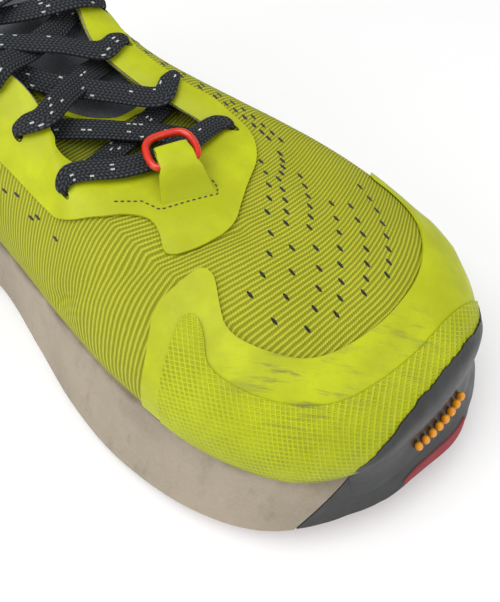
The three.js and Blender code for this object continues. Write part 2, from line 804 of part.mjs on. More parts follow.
// From an eyelet across the throat to the next eyelet of the other side.
function strand(from, to, fromLift, lift) {
  const leave = [besideStop(from, fromLift), edgeStop(from, fromLift)];
  const arrive = [edgeStop(to, LACE_BELOW), besideStop(to, LACE_BELOW)];
  return [...leave, ...crossStops(leave[1], arrive[0], lift), ...arrive, ...throughStops(to)];
}

// The end of a lace, over the top edge beside the tongue and down inside the shoe.
function tuckedEnd({ edge }) {
  const turn = edge < 0.5 ? -1 : 1;
  const along = heelward(edge);
  return TUCK.map(([share, t, lift]) => stop(upperAt(edge + share * turn, t, lift), along, 0.2));
}

const TUCK = [
  [0.004, 0.98, LACE_ABOVE + 0.3],
  [0.006, 1.07, 2.4],
  [0.006, 1.08, -2.4],
  [0.006, 0.99, LACE_BELOW - 0.4],
  [0.006, 0.9, LACE_BELOW],
  [0.006, 0.78, LACE_BELOW - 0.1],
  [0.006, 0.66, LACE_BELOW - 1.2],
];

// One half of the lace, from the first eyelet up to the last and down beside the tongue.
function laceHalf(own, other, side) {
  const stops = throughStops(own[0]).reverse();
  let rows = [own, other];
  for (let k = 0; k < own.length - 1; k++) {
    const fromLift = k === 0 ? LACE_BELOW : LACE_ABOVE;
    stops.push(...strand(rows[0][k], rows[1][k + 1], fromLift, side * CROSSING));
    rows = rows.reverse();
  }
  const last = rows[0][own.length - 1];
  return [...stops, besideStop(last, LACE_ABOVE), ...tuckedEnd(last)];
}

function laceStops() {
  const barStart = besideStop(outerEyelets[0], LACE_ABOVE);
  const barEnd = besideStop(innerEyelets[0], LACE_ABOVE);
  const middle = crossStops(barStart, barEnd, BAR_RISE);
  middle.forEach((bar, k) => bar.at.addScaledVector(RING_FORWARD, k === 1 ? BAR_BOW : 0.8 * BAR_BOW));
  const outerHalf = laceHalf(outerEyelets, innerEyelets, -1).reverse();
  const innerHalf = laceHalf(innerEyelets, outerEyelets, 1);
  return [...outerHalf, barStart, ...middle, barEnd, ...innerHalf];
}

// A flat braid swept along its stops, squeezed rounder where it passes an eyelet.
function sweepBraid(stops, steps) {
  const curve = new THREE.CatmullRomCurve3(
    stops.map(({ at }) => at),
    false,
    "centripetal",
  );
  const last = stops.length - 1;
  const rings = range(steps).map((u) => {
    const centre = curve.getPoint(u);
    const tangent = curve.getTangent(u);
    const k = Math.min(Math.floor(u * last), last - 1);
    const mix = u * last - k;
    const across = stops[k].across.clone().lerp(stops[k + 1].across, mix);
    across.addScaledVector(tangent, -across.dot(tangent)).normalize();
    const outward = new THREE.Vector3().crossVectors(across, tangent);
    const squeeze = THREE.MathUtils.lerp(stops[k].squeeze, stops[k + 1].squeeze, mix);
    const half = THREE.MathUtils.lerp(LACE_WIDTH / 2, SQUEEZED_HALF_WIDTH, squeeze);
    const thick = THREE.MathUtils.lerp(LACE_THICKNESS / 2, SQUEEZED_HALF_THICKNESS, squeeze);
    return BRAID_SECTION.map(([x, y]) =>
      centre
        .clone()
        .addScaledVector(across, half * x)
        .addScaledVector(outward, thick * y),
    );
  });
  return capTube(rings);
}

const SQUEEZED_HALF_WIDTH = 1.6;
const SQUEEZED_HALF_THICKNESS = 1;
const BRAID_SECTION = [[1, 0], [0.7, 1], [-0.7, 1], [-1, 0], [-0.7, -1], [0.7, -1]];

function capTube(rings) {
  const sides = rings[0].length;
  const positions = rings.flatMap((ring) => ring.flatMap((p) => [p.x, p.y, p.z]));
  const indices = [];
  for (let k = 0; k < rings.length - 1; k++) {
    for (let i = 0; i < sides; i++) {
      const next = (i + 1) % sides;
      const [a, b] = [k * sides + i, k * sides + next];
      indices.push(a, b, b + sides, a, b + sides, a + sides);
    }
  }
  const end = (rings.length - 1) * sides;
  for (let i = 1; i < sides - 1; i++) {
    indices.push(0, i + 1, i, end, end + i, end + i + 1);
  }
  return closedGeometry(positions, indices);
}

const allLaceStops = laceStops();
const laces = () => sweepBraid(allLaceStops, (allLaceStops.length - 1) * 2);

function aglet(stops) {
  const [end, before] = stops;
  const along = end.at.clone().sub(before.at).normalize();
  const tip = new THREE.CylinderGeometry(1.4, 1.2, 18, 10);
  tip.applyQuaternion(new THREE.Quaternion().setFromUnitVectors(new THREE.Vector3(0, 1, 0), along));
  const at = end.at.clone().addScaledVector(along, 9 + GAP);
  return tip.translate(at.x, at.y, at.z);
}

// ---- ring and tab at the foot of the lacing ----

const ringBar = () => {
  const start = besideStop(outerEyelets[0], LACE_ABOVE).at;
  const end = besideStop(innerEyelets[0], LACE_ABOVE).at;
  const middle = start.lerp(end, RING_PLACE);
  const clearance = LACE_THICKNESS / 2 + GAP + TAB_THICKNESS + GAP + RING_WIRE / 2;
  return middle.addScaledVector(RING_FORWARD, BAR_BOW + RING_AHEAD).addScaledVector(up, clearance);
};

function ringFrame(origin, forward, rising) {
  return new THREE.Matrix4().makeBasis(RING_AXIS, forward, rising).setPosition(origin);
}

function gaiterRing() {
  const w = (RING_WIDTH - RING_WIRE) / 2;
  const h = RING_HEIGHT - RING_WIRE;
  const corner = 3;
  const path = new THREE.Path();
  path.moveTo(-w + corner, 0);
  path.lineTo(w - corner, 0);
  path.quadraticCurveTo(w, 0, w, corner);
  path.bezierCurveTo(w, h * 0.9, w * 0.75, h, 0, h);
  path.bezierCurveTo(-w * 0.75, h, -w, h * 0.9, -w, corner);
  path.quadraticCurveTo(-w, 0, -w + corner, 0);
  const points = path.getSpacedPoints(36).slice(0, -1);
  const route = new THREE.CatmullRomCurve3(
    points.map((p) => new THREE.Vector3(p.x, p.y, 0)),
    true,
  );
  const sides = 6;
  const rings = range(29).map((u) => {
    const at = route.getPoint((u * 29) / 30);
    const tangent = route.getTangent((u * 29) / 30);
    const out = new THREE.Vector3(tangent.y, -tangent.x, 0).normalize();
    return range(sides - 1).map((v) => {
      const angle = (2 * Math.PI * v * (sides - 1)) / sides;
      return at
        .clone()
        .addScaledVector(out, (RING_WIRE / 2) * Math.cos(angle))
        .add(new THREE.Vector3(0, 0, (RING_WIRE / 2) * Math.sin(angle)));
    });
  });
  const positions = rings.flatMap((ring) => ring.flatMap((p) => [p.x, p.y, p.z]));
  const indices = [];
  rings.forEach((_, k) => {
    for (let i = 0; i < sides; i++) {
      const next = (i + 1) % sides;
      const after = ((k + 1) % rings.length) * sides;
      const here = k * sides;
      indices.push(here + i, here + next, after + next, here + i, after + next, after + i);
    }
  });
  const tilt = THREE.MathUtils.degToRad(RING_TILT);
  const leaning = RING_FORWARD.clone().multiplyScalar(-Math.cos(tilt));
  leaning.addScaledVector(up, Math.sin(tilt));
  const normal = new THREE.Vector3().crossVectors(RING_AXIS, leaning);
  return closedGeometry(positions, indices).applyMatrix4(ringFrame(ringBar(), leaning, normal));
}

function gaiterTab() {
  const inner = RING_WIRE / 2 + GAP;
  const outer = inner + TAB_THICKNESS;
  const bar = ringBar();
  const foot = bar.clone().addScaledVector(RING_FORWARD, TAB_LENGTH);
  const footLift = SKIN_GAP + EYESTAY_THICKNESS + GAP;
  const footClearance = 0.5;
  const footHeight = nearestUpperHeight(foot) + footLift + footClearance - bar.z;
  const foldRadius = inner * 0.6;
  const foldAt = foldRadius + TAB_THICKNESS - TAB_LOOP;
  const foldHeight = -foldAt * Math.tan(THREE.MathUtils.degToRad(RING_TILT));
  const loop = (path, atBar, atFold) => {
    path.absarc(0, 0, atBar, -0.5 * Math.PI, 0.5 * Math.PI, false);
    path.absarc(foldAt, foldHeight, atFold, 0.5 * Math.PI, 1.5 * Math.PI, false);
    path.closePath();
    return path;
  };
  const shape = new THREE.Shape();
  shape.moveTo(0, -outer);
  shape.lineTo(TAB_LENGTH - 0.6, footHeight);
  shape.lineTo(TAB_LENGTH + 0.6, footHeight + TAB_THICKNESS);
  shape.absarc(0, 0, outer, 0.3, 0.5 * Math.PI, false);
  shape.absarc(foldAt, foldHeight, foldRadius + TAB_THICKNESS, 0.5 * Math.PI, 1.5 * Math.PI, false);
  shape.closePath();
  shape.holes.push(loop(new THREE.Path(), inner, foldRadius));
  const halfWidth = (RING_WIDTH - 2 * RING_WIRE) / 2 - 0.5;
  const geometry = new THREE.ExtrudeGeometry(shape, {
    depth: 2 * halfWidth,
    bevelEnabled: false,
    curveSegments: 8,
  });
  const at = geometry.attributes.position;
  for (let i = 0; i < at.count; i++) {
    const forward = at.getX(i);
    const height = at.getY(i);
    const widening = (TAB_FLARE * Math.max(0, forward - inner)) / (TAB_LENGTH - inner);
    const narrowing = (TAB_TAPER * Math.max(0, -forward)) / TAB_LOOP;
    const flare = 1 + widening - narrowing;
    const along = (at.getZ(i) - halfWidth) * flare;
    at.setXYZ(i, along, forward, height);
  }
  geometry.applyMatrix4(ringFrame(bar, RING_FORWARD, up));
  const flat = mergeVertices(bareCopy(geometry), 1e-3);
  return closedGeometry(Array.from(flat.attributes.position.array), Array.from(flat.index.array));
}

// The height of the upper's outer face under a point on the front of the throat.
function nearestUpperHeight(point) {
  let best = { distance: Infinity, z: 0 };
  for (const a of range(40).map((u) => 0.42 + 0.24 * u)) {
    for (const t of range(60).map((u) => 0.6 + 0.4 * u)) {
      const p = upperPoint(a, t);
      const distance = Math.hypot(p.x - point.x, p.y - point.y);
      if (distance < best.distance) best = { distance, z: p.z };
    }
  }
  return best.z;
}

// ---- heel pull loop: a webbing loop with a finger gap ----

const LOOP_WIDTH = 12;
const LOOP_WEBBING = 1.6;
function heelLoop() {
  const foot = upperAt(0, 0.6, GAP + 0.1);
  const length = 32;
  const depth = 11;
  const outline = (inset) => {
    const r = depth / 2 - inset;
    const path = inset ? new THREE.Path() : new THREE.Shape();
    path.absarc(0, length - depth, r, 0, Math.PI, false);
    path.absarc(0, 0, r, Math.PI, 2 * Math.PI, false);
    path.closePath();
    return path;
  };
  const shape = outline(0);
  shape.holes.push(outline(LOOP_WEBBING));
  const geometry = new THREE.ExtrudeGeometry(shape, {
    depth: LOOP_WIDTH,
    bevelEnabled: false,
    curveSegments: 8,
  });
  geometry.translate(0, 0, -LOOP_WIDTH / 2);
  geometry.rotateX(Math.PI / 2);
  return geometry.translate(foot.x - depth / 2 - 0.4, 0, foot.z + 6);
}

// ---- materials and assembly ----

const material = (color, roughness, metalness = 0) =>
  new THREE.MeshStandardMaterial({ color, roughness, metalness });
const lime = material(0xc6d42c, 0.55);
const mesh = material(0xadb332, 0.85);
const guard = material(0xbccb2e, 0.6);
const foam = material(0x96897a, 0.8);
const blackRubber = material(0x2c2d2e, 0.5);
const redRubber = material(0xa8323c, 0.6);
const badgeYellow = material(0xe59a1c, 0.5);
const board = material(0xb9b6ad, 0.9);
const darkTextile = material(0x33373c, 0.9);
const braid = material(0x3f444b, 0.85);
const plastic = material(0x1f2225, 0.35);
const redPlastic = material(0xd5180a, 0.35);

const shoe = new THREE.Group();

function place(name, geometry, finish) {
  const piece = new THREE.Mesh(geometry, finish);
  piece.name = name;
  shoe.add(piece);
}

place("outsole_heel", heelPad(), redRubber);
place("outsole_forefoot", forefootPad(), redRubber);
place("midsole", midsole(), foam);
place("toe_bumper", toeBumper(), blackRubber);
place("toe_badge", toeBadge(), badgeYellow);
place("strobel_board", flatLayer(SHELL_THICKNESS + 1, -0.1, BOARD_THICKNESS), board);
place("insole", flatLayer(5, BOARD_THICKNESS + GAP - 0.1, INSOLE_THICKNESS), darkTextile);
place("upper_mesh", upperShell(), mesh);
place("toe_overlay", toeFilm(), lime);
place("toe_guard", toeGuard(), guard);
place("toe_rand", toeRand(), blackRubber);
place("eyestay", eyestay(), lime);
place("heel_wrap", heelWrap(), lime);
place("heel_counter", heelCounter(), board);
place("toe_puff", toePuff(), board);
place("collar_pad", collarPad(), darkTextile);
place("tongue", tongue(), mesh);
place("laces", laces(), braid);
place("aglet_outer", aglet(allLaceStops), plastic);
place("aglet_inner", aglet(allLaceStops.slice(-2).reverse()), plastic);
place("gaiter_tab", gaiterTab(), lime);
place("gaiter_ring", gaiterRing(), redPlastic);
place("heel_loop", heelLoop(), darkTextile);
for (const [name, centre, lean] of [
  ["quarter_band_inner", 0.14, 0.03],
  ["quarter_band_outer", 0.888, -0.03],
]) {
  const strip = { centre, lean, halfWidth: 0.009, low: OVERLAY_FOOT, high: 0.62 };
  place(name, leaningStrip(strip), lime);
}

const bounds = new THREE.Box3().setFromObject(shoe);
const centre = bounds.getCenter(new THREE.Vector3());
shoe.position.set(-centre.x, -centre.y, -bounds.min.z);

export default shoe;
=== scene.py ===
"""A trail running shoe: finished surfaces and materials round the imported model."""

import json
import math

import bmesh
import bpy
import numpy as np
from mathutils import Matrix, Vector, noise
from mathutils.geometry import delaunay_2d_cdt


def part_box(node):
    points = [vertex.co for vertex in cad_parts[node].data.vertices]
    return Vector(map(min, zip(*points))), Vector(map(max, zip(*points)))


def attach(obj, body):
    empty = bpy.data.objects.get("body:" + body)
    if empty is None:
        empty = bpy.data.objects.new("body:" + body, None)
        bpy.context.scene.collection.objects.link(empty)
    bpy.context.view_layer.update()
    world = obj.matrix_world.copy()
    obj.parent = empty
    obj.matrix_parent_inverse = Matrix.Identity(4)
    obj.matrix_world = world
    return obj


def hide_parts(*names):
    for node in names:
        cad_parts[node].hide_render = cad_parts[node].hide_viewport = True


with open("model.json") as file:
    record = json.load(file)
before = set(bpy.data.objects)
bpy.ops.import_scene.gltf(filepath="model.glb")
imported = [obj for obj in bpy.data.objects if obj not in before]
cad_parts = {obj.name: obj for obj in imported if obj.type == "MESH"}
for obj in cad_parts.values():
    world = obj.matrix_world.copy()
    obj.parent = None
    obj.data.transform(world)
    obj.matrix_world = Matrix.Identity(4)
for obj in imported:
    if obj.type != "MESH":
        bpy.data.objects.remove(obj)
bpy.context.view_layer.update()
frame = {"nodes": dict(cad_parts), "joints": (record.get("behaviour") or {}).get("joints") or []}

MM = 0.001

# Layers of the upper, in millimetres off its outer face.
SKIN_GAP = 0.45
FILM = 0.6
EYESTAY = 0.8
SHELL = 1.8
BUMPER = 2.2

# One row for each key round the foot, from the heel's centre along the inner side to the toe
# and back along the outer side: where the upper meets the midsole, its top or throat edge,
# and how far it swells out and up at the bottom, and out and down at the top.
KEYS = [
    [(6, 0, 42), (10, 0, 108), (5, 22, 3, 24)],
    [(16, 22, 41), (20, 19, 101), (6, 20, 4, 22)],
    [(42, 33, 39), (44, 28, 90), (7, 18, 6, 18)],
    [(76, 34, 37), (74, 31, 86), (7, 18, 7, 18)],
    [(108, 32, 35.5), (100, 30, 98), (8, 26, 12, 22)],
    [(138, 34, 34), (122, 24, 100), (10, 32, 17, 18)],
    [(166, 40, 33.5), (141, 15, 89), (10, 35, 24, 4)],
    [(194, 46, 33), (160, 16, 81), (10, 36, 27, 0)],
    [(222, 49.5, 33), (172, 19, 77.5), (9, 36, 29, 0)],
    [(248, 49.5, 33), (181, 20, 75), (8, 31, 36, 0)],
    [(269, 43, 35), (185, 15, 74), (7, 25, 48, 1)],
    [(281, 28, 37.5), (186, 8, 74.5), (6, 21, 57, 3)],
    [(283, 10, 38), (185, 1, 75), (6, 19, 62, 6)],
    [(281, -8, 36), (183, -5, 75.5), (6, 19, 60, 6)],
    [(276, -25, 34.3), (179, -12, 76), (6, 20, 54, 6)],
    [(262, -39.5, 33), (174, -17, 77), (7, 21, 42, 6)],
    [(238, -47.5, 33), (168, -20, 78.5), (8, 21, 32, 6)],
    [(208, -48.5, 33), (161, -20, 81), (8, 21, 24, 6)],
    [(180, -45, 33.5), (152, -15, 85), (8, 22, 20, 8)],
    [(150, -39.5, 34), (138, -14, 92), (8, 24, 18, 12)],
    [(120, -35, 35.5), (122, -24, 100), (7, 24, 12, 20)],
    [(94, -34, 36.5), (100, -31, 97), (7, 22, 10, 22)],
    [(66, -35, 38), (74, -32, 83), (7, 18, 7, 18)],
    [(18, -23, 41), (22, -20, 100), (6, 20, 4, 22)],
]
SOLE_OUTLINE = [
    (0, 0), (10, 26), (40, 41), (78, 44), (110, 40), (140, 40), (168, 45.5), (196, 52.5),
    (222, 56.5), (248, 57), (270, 51.5), (286, 38), (294, 12), (291, -7), (285, -26),
    (267, -48.5), (243, -59), (212, -62), (184, -58.5), (156, -51), (124, -43), (94, -43),
    (64, -45), (12, -28),
]
LENGTH = 294
AROUND = 690  # rough length round the upper, to lay out panels evenly
CLIMB = 105  # rough height of the upper along its surface

feather_keys = np.array([row[0] for row in KEYS], float)
edge_keys = np.array([row[1] for row in KEYS], float)
swell = np.array([row[2] for row in KEYS], float)
sole_keys = np.array([(x, y, 0) for x, y in SOLE_OUTLINE], float)


# ---- curves and the shoe's surfaces ----


def loop_points(keys, a):
    """Points on the smooth closed curve through keys, at shares a of the way round."""
    count = len(keys)
    place = (np.asarray(a, float) % 1.0) * count
    first = np.floor(place).astype(int)
    w = (place - first)[..., None]
    p0, p1, p2, p3 = (keys[(first + k) % count] for k in (-1, 0, 1, 2))
    slope1 = (p2 - p0) / 2
    slope2 = (p3 - p1) / 2
    square = 3 * (p2 - p1) - 2 * slope1 - slope2
    cube = 2 * (p1 - p2) + slope1 + slope2
    return p1 + w * (slope1 + w * (square + w * cube))


def unit(vectors):
    return vectors / np.maximum(np.linalg.norm(vectors, axis=-1, keepdims=True), 1e-9)


def outward_keys(keys):
    before = np.roll(keys, 1, axis=0)
    after = np.roll(keys, -1, axis=0)
    flat = np.zeros_like(keys)
    flat[:, 0] = before[:, 1] - after[:, 1]
    flat[:, 1] = after[:, 0] - before[:, 0]
    return unit(flat)


UP = np.array([0.0, 0.0, 1.0])
lower_keys = feather_keys + outward_keys(feather_keys) * swell[:, 0:1] + UP * swell[:, 1:2]
away = (feather_keys - edge_keys) * np.array([1.0, 1.0, 0.0])
upper_keys = edge_keys + unit(away) * swell[:, 2:3] - UP * swell[:, 3:4]


def upper_point(a, t):
    """The upper's outer face: a runs round the foot, t from the midsole to the top edge."""
    a, t = np.broadcast_arrays(np.asarray(a, float), np.asarray(t, float))
    s = 1 - t
    weights = (s**3, 3 * s * s * t, 3 * s * t * t, t**3)
    loops = (feather_keys, lower_keys, upper_keys, edge_keys)
    return sum(w[..., None] * loop_points(keys, a) for w, keys in zip(weights, loops))


def upper_normal(a, t):
    step = 1e-3
    a, t = np.broadcast_arrays(np.asarray(a, float), np.asarray(t, float))
    along = upper_point(a + step, t) - upper_point(a - step, t)
    climb = upper_point(a, np.minimum(t + step, 1)) - upper_point(a, np.maximum(t - step, 0))
    return unit(np.cross(climb, along))


# Creases where the upper bends over the ball of the foot: a path, its depth and its width.
CREASES = [
    ([(180, -47, 50), (192, -39, 61), (202, -32, 69), (208, -22, 71), (216, -4, 71)], -1.5, 3.2),
    ([(203, -40, 62), (212, -34, 66)], 0.9, 6.0),
    ([(203, 35, 73), (213, 29, 72), (232, 18, 69)], -1.1, 6.0),
    ([(196, 30, 74), (204, 18, 73)], -0.8, 5.0),
    ([(252, 47, 55), (262, 43, 53)], 0.7, 3.5),
    ([(190, -45, 54), (197, -38, 63)], 0.7, 3.0),
]


def distance_to_path(points, path):
    best = np.full(points.shape[:-1], 1e9)
    for start, end in zip(np.array(path[:-1], float), np.array(path[1:], float)):
        way = end - start
        share = np.clip(((points - start) @ way) / (way @ way), 0, 1)
        nearest = start + share[..., None] * way
        best = np.minimum(best, np.linalg.norm(points - nearest, axis=-1))
    return best


def crease(points):
    return sum(
        depth * np.exp(-((distance_to_path(points, path) / width) ** 2))
        for path, depth, width in CREASES
    )


def skin(a, t, lift=0.0):
    """A layer over the upper, following its creases."""
    points = upper_point(a, t)
    height = (crease(points) + lift)[..., None]
    return points + upper_normal(a, t) * height


def open_curve(points, shares):
    """Points on the smooth open curve through points, with its knots spaced by distance."""
    points = np.asarray(points, float)
    last = len(points) - 1
    extended = np.vstack([2 * points[0] - points[1], points, 2 * points[-1] - points[-2]])
    place = np.clip(np.asarray(shares, float), 0, 1) * last
    first = np.minimum(np.floor(place).astype(int), last - 1)
    w = (place - first)[:, None]
    x0, x1, x2, x3 = (extended[first + k] for k in range(4))
    gap = [np.maximum(np.linalg.norm(q - p, axis=1, keepdims=True) ** 0.5, 1e-4)
           for p, q in ((x0, x1), (x1, x2), (x2, x3))]
    slope1 = (x1 - x0) / gap[0] - (x2 - x0) / (gap[0] + gap[1]) + (x2 - x1) / gap[1]
    slope2 = (x2 - x1) / gap[1] - (x3 - x1) / (gap[1] + gap[2]) + (x3 - x2) / gap[2]
    slope1, slope2 = slope1 * gap[1], slope2 * gap[1]
    square = 3 * (x2 - x1) - 2 * slope1 - slope2
    cube = 2 * (x1 - x2) + slope1 + slope2
    return x1 + w * (slope1 + w * (square + w * cube))


def outward_of(keys, a):
    step = 1e-3
    along = loop_points(keys, a + step) - loop_points(keys, a - step)
    flat = np.stack([-along[..., 1], along[..., 0], np.zeros(along.shape[:-1])], axis=-1)
    return unit(flat)


def offset_line(keys, a, distance):
    return loop_points(keys, a) + outward_of(keys, a) * np.asarray(distance)[..., None]


def ground_height(x):
    toe_start = 0.68 * LENGTH
    heel_end = 0.15 * LENGTH
    toe = 15 * (np.maximum(x - toe_start, 0) / (LENGTH - toe_start)) ** 1.8
    heel = 5 * (np.maximum(heel_end - x, 0) / heel_end) ** 2
    return toe + heel


def wall_point(a, s, inset):
    """The midsole's side: s is 0 at its top edge and 1 at its widest line."""
    a, s, inset = np.broadcast_arrays(*(np.asarray(v, float) for v in (a, s, inset)))
    top = offset_line(feather_keys, a, 1.5 - inset)
    top[..., 2] = loop_points(feather_keys, a)[..., 2] - 0.4
    widest = offset_line(sole_keys, a, -inset)
    widest[..., 2] = ground_height(loop_points(sole_keys, a)[..., 0]) + 5
    flare = (0.72 * s + 0.28 * s * s)[..., None]
    point = top + (widest - top) * flare
    point[..., 2] = top[..., 2] + (widest[..., 2] - top[..., 2]) * s
    return point


midsole_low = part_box("midsole")[0]
round_shares = np.arange(66) / 66
sole_low_y = loop_points(sole_keys, round_shares)[:, 1].min()
OFFSET = np.array([midsole_low.x / MM, midsole_low.y / MM - sole_low_y, 0.0])


def to_row(points):
    """From the key tables' millimetres to the model's metres."""
    return (np.asarray(points) + OFFSET) * MM


def rib_coordinate(points):
    """Millimetres across the mesh's ribs, which run across the foot with a skew."""
    x, y = points[..., 0], points[..., 1]
    skew = 0.14 + np.clip(250 - x, 0, 60) * 0.0062
    outer_wall = np.minimum(y + 26, 0)
    inner_side = np.maximum(y - 3, 0)
    return x - np.maximum(y, -26) * skew + outer_wall * 0.1 + inner_side**2 * 0.009


# ---- meshes ----


def make_object(name, points, faces, lay=None):
    mesh = bpy.data.meshes.new(name)
    mesh.from_pydata(to_row(points).tolist(), [], faces)
    if lay is not None:
        layer = mesh.attributes.new("lay", "FLOAT_VECTOR", "POINT")
        layer.data.foreach_set("vector", np.asarray(lay, np.float32).ravel())
    work = bmesh.new()
    work.from_mesh(mesh)
    bmesh.ops.recalc_face_normals(work, faces=work.faces)
    work.to_mesh(mesh)
    work.free()
    mesh.shade_smooth()
    mesh.set_sharp_from_angle(angle=math.radians(40))
    piece = bpy.data.objects.new(name, mesh)
    bpy.context.scene.collection.objects.link(piece)
    return piece


def grid_faces(rows, columns, start, wrapped=False):
    i, j = np.meshgrid(np.arange(rows if wrapped else rows - 1), np.arange(columns - 1),
                       indexing="ij")
    after = (i + 1) % rows
    corners = (i * columns + j, after * columns + j, after * columns + j + 1, i * columns + j + 1)
    return (np.stack(corners, axis=-1).reshape(-1, 4) + start).tolist()


def slab_faces(rows, columns, wrapped=False):
    """Faces of the body between two grids of points, the second following the first."""
    size = rows * columns
    faces = grid_faces(rows, columns, 0, wrapped) + grid_faces(rows, columns, size, wrapped)
    last = rows if wrapped else rows - 1
    for j in (0, columns - 1):
        for i in range(last):
            a, b = i * columns + j, (i + 1) % rows * columns + j
            faces.append([a, b, b + size, a + size])
    if not wrapped:
        for i in (0, rows - 1):
            for j in range(columns - 1):
                a = i * columns + j
                faces.append([a, a + 1, a + 1 + size, a + size])
    return faces


def slab_object(name, outer, inner, wrapped=False, lay=None):
    rows, columns = outer.shape[:2]
    points = np.concatenate([outer.reshape(-1, 3), inner.reshape(-1, 3)])
    if lay is not None:
        lay = np.concatenate([lay.reshape(-1, 3)] * 2)
    return make_object(name, points, slab_faces(rows, columns, wrapped), lay)


def finish_piece(piece, slot, body, material, *replaced):
    piece.data.materials.clear()
    piece.data.materials.append(material)
    if replaced:
        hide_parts(*replaced)
    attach(piece, body)
    return piece


def lay_of(points, a, t):
    """Pattern coordinates: across the ribs, along the ribs and up the surface."""
    along = points[..., 1] * 0.9 + points[..., 2] * 0.7
    return np.stack([rib_coordinate(points), along, t * CLIMB + 0 * a], axis=-1)


# ---- panels cut to an outline and laid on the upper ----


def rounded(outline, passes=3):
    """An outline with its corners cut round."""
    points = np.array(outline, float)
    for _ in range(passes):
        following = np.roll(points, -1, axis=0)
        cut = np.stack([points * 0.75 + following * 0.25, points * 0.25 + following * 0.75], axis=1)
        points = cut.reshape(-1, 2)
    return points


def resampled(outline, pitch):
    closed = np.vstack([outline, outline[:1]])
    steps = np.linalg.norm(np.diff(closed, axis=0), axis=1)
    walked = np.concatenate([[0], np.cumsum(steps)])
    count = max(8, int(walked[-1] / pitch))
    places = np.arange(count) * walked[-1] / count
    return np.stack([np.interp(places, walked, closed[:, k]) for k in (0, 1)], axis=1)


def inside(points, outline):
    x, y = points[:, 0], points[:, 1]
    result = np.zeros(len(points), bool)
    for (x1, y1), (x2, y2) in zip(outline, np.roll(outline, -1, axis=0)):
        crosses = (y1 > y) != (y2 > y)
        with np.errstate(divide="ignore", invalid="ignore"):
            edge_x = (x2 - x1) * (y - y1) / (y2 - y1) + x1
        result ^= crosses & (x < edge_x)
    return result


def panel(name, outline, lift, thickness, holes=(), pitch=1.6, fill=3.2, passes=3):
    """A thin panel on the upper, cut to an outline of (a, t) corners."""
    scale = np.array([AROUND, CLIMB], float)
    border = resampled(rounded(np.array(outline) * scale, passes), pitch)
    rings = [border] + [
        resampled(np.array(hole) * scale, 1.0) for hole in holes
    ]
    low, high = border.min(0), border.max(0)
    xs = np.arange(low[0] + fill / 2, high[0], fill)
    ys = np.arange(low[1] + fill / 2, high[1], fill)
    filling = np.stack(np.meshgrid(xs, ys, indexing="ij"), axis=-1).reshape(-1, 2)
    keep = inside(filling, border)
    for ring in rings[1:]:
        keep &= ~inside(filling, ring)
    filling = filling[keep]
    around = np.vstack(rings)
    gaps = np.linalg.norm(filling[:, None] - around[None], axis=2).min(axis=1)
    filling = filling[gaps > fill * 0.35]
    points = np.vstack([around, filling])
    edges = []
    start = 0
    for ring in rings:
        edges += [(start + k, start + (k + 1) % len(ring)) for k in range(len(ring))]
        start += len(ring)
    made = delaunay_2d_cdt([Vector(p) for p in points], edges, [], 0, 1e-4)
    flat = np.array([tuple(v) for v in made[0]])
    triangles = np.array(made[2])
    middles = flat[triangles].mean(axis=1)
    keep = inside(middles, border)
    for ring in rings[1:]:
        keep &= ~inside(middles, ring)
    triangles = triangles[keep]
    a, t = flat[:, 0] / AROUND, flat[:, 1] / CLIMB
    top = skin(a, t, lift + thickness)
    bottom = skin(a, t, lift)
    count = len(flat)
    faces = triangles.tolist() + (triangles[:, ::-1] + count).tolist()
    seen = {}
    for tri in triangles.tolist():
        for u, v in zip(tri, tri[1:] + tri[:1]):
            seen[(u, v)] = True
    faces += [[v, u, u + count, v + count] for u, v in seen if (v, u) not in seen]
    lay = lay_of(np.concatenate([top, bottom]), np.tile(a, 2), np.tile(t, 2))
    return make_object(name, np.concatenate([top, bottom]), faces, lay)


def circle_on_skin(a, t, radius):
    """A small round hole's outline in (a, t)."""
    step = 1e-3
    along = np.linalg.norm(upper_point(a + step, t) - upper_point(a - step, t)) / (2 * step)
    climb = np.linalg.norm(upper_point(a, t) - upper_point(a, t - step)) / step
    angles = np.arange(14) * math.tau / 14
    return [(a + radius / along * math.cos(g), t + radius / climb * math.sin(g)) for g in angles]


# ---- node materials ----


class Wire:
    """A socket of a material, used in plain arithmetic."""

    def __init__(self, finish, socket):
        self.finish = finish
        self.socket = socket

    def maths(self, operation, *values):
        settings = {"operation": operation}
        return self.finish.node("ShaderNodeMath", settings, dict(enumerate(values)))

    def __add__(self, other):
        return self.maths("ADD", self, other)

    def __sub__(self, other):
        return self.maths("SUBTRACT", self, other)

    def __rsub__(self, other):
        return self.maths("SUBTRACT", other, self)

    def __mul__(self, other):
        return self.maths("MULTIPLY", self, other)

    __radd__ = __add__
    __rmul__ = __mul__

    def wave(self, pitch):
        """A sine from 0 to 1 with the given pitch."""
        phase = self * (math.tau / pitch)
        return self.maths("SINE", phase) * 0.5 + 0.5

    def power(self, exponent):
        return self.maths("POWER", self, exponent)

    def above(self, level):
        return self.maths("GREATER_THAN", self, level)

    def size(self):
        return self.maths("ABSOLUTE", self)

    def fract(self):
        return self.maths("FRACT", self)

    def floor(self):
        return self.maths("FLOOR", self)

    def from_edge(self):
        """How far a place is from the nearer edge of its cell, from 0 to a half."""
        return (self.fract() - 0.5).size() * -1 + 0.5

    def least(self, other):
        return self.maths("MINIMUM", self, other)

    def most(self, other):
        return self.maths("MAXIMUM", self, other)


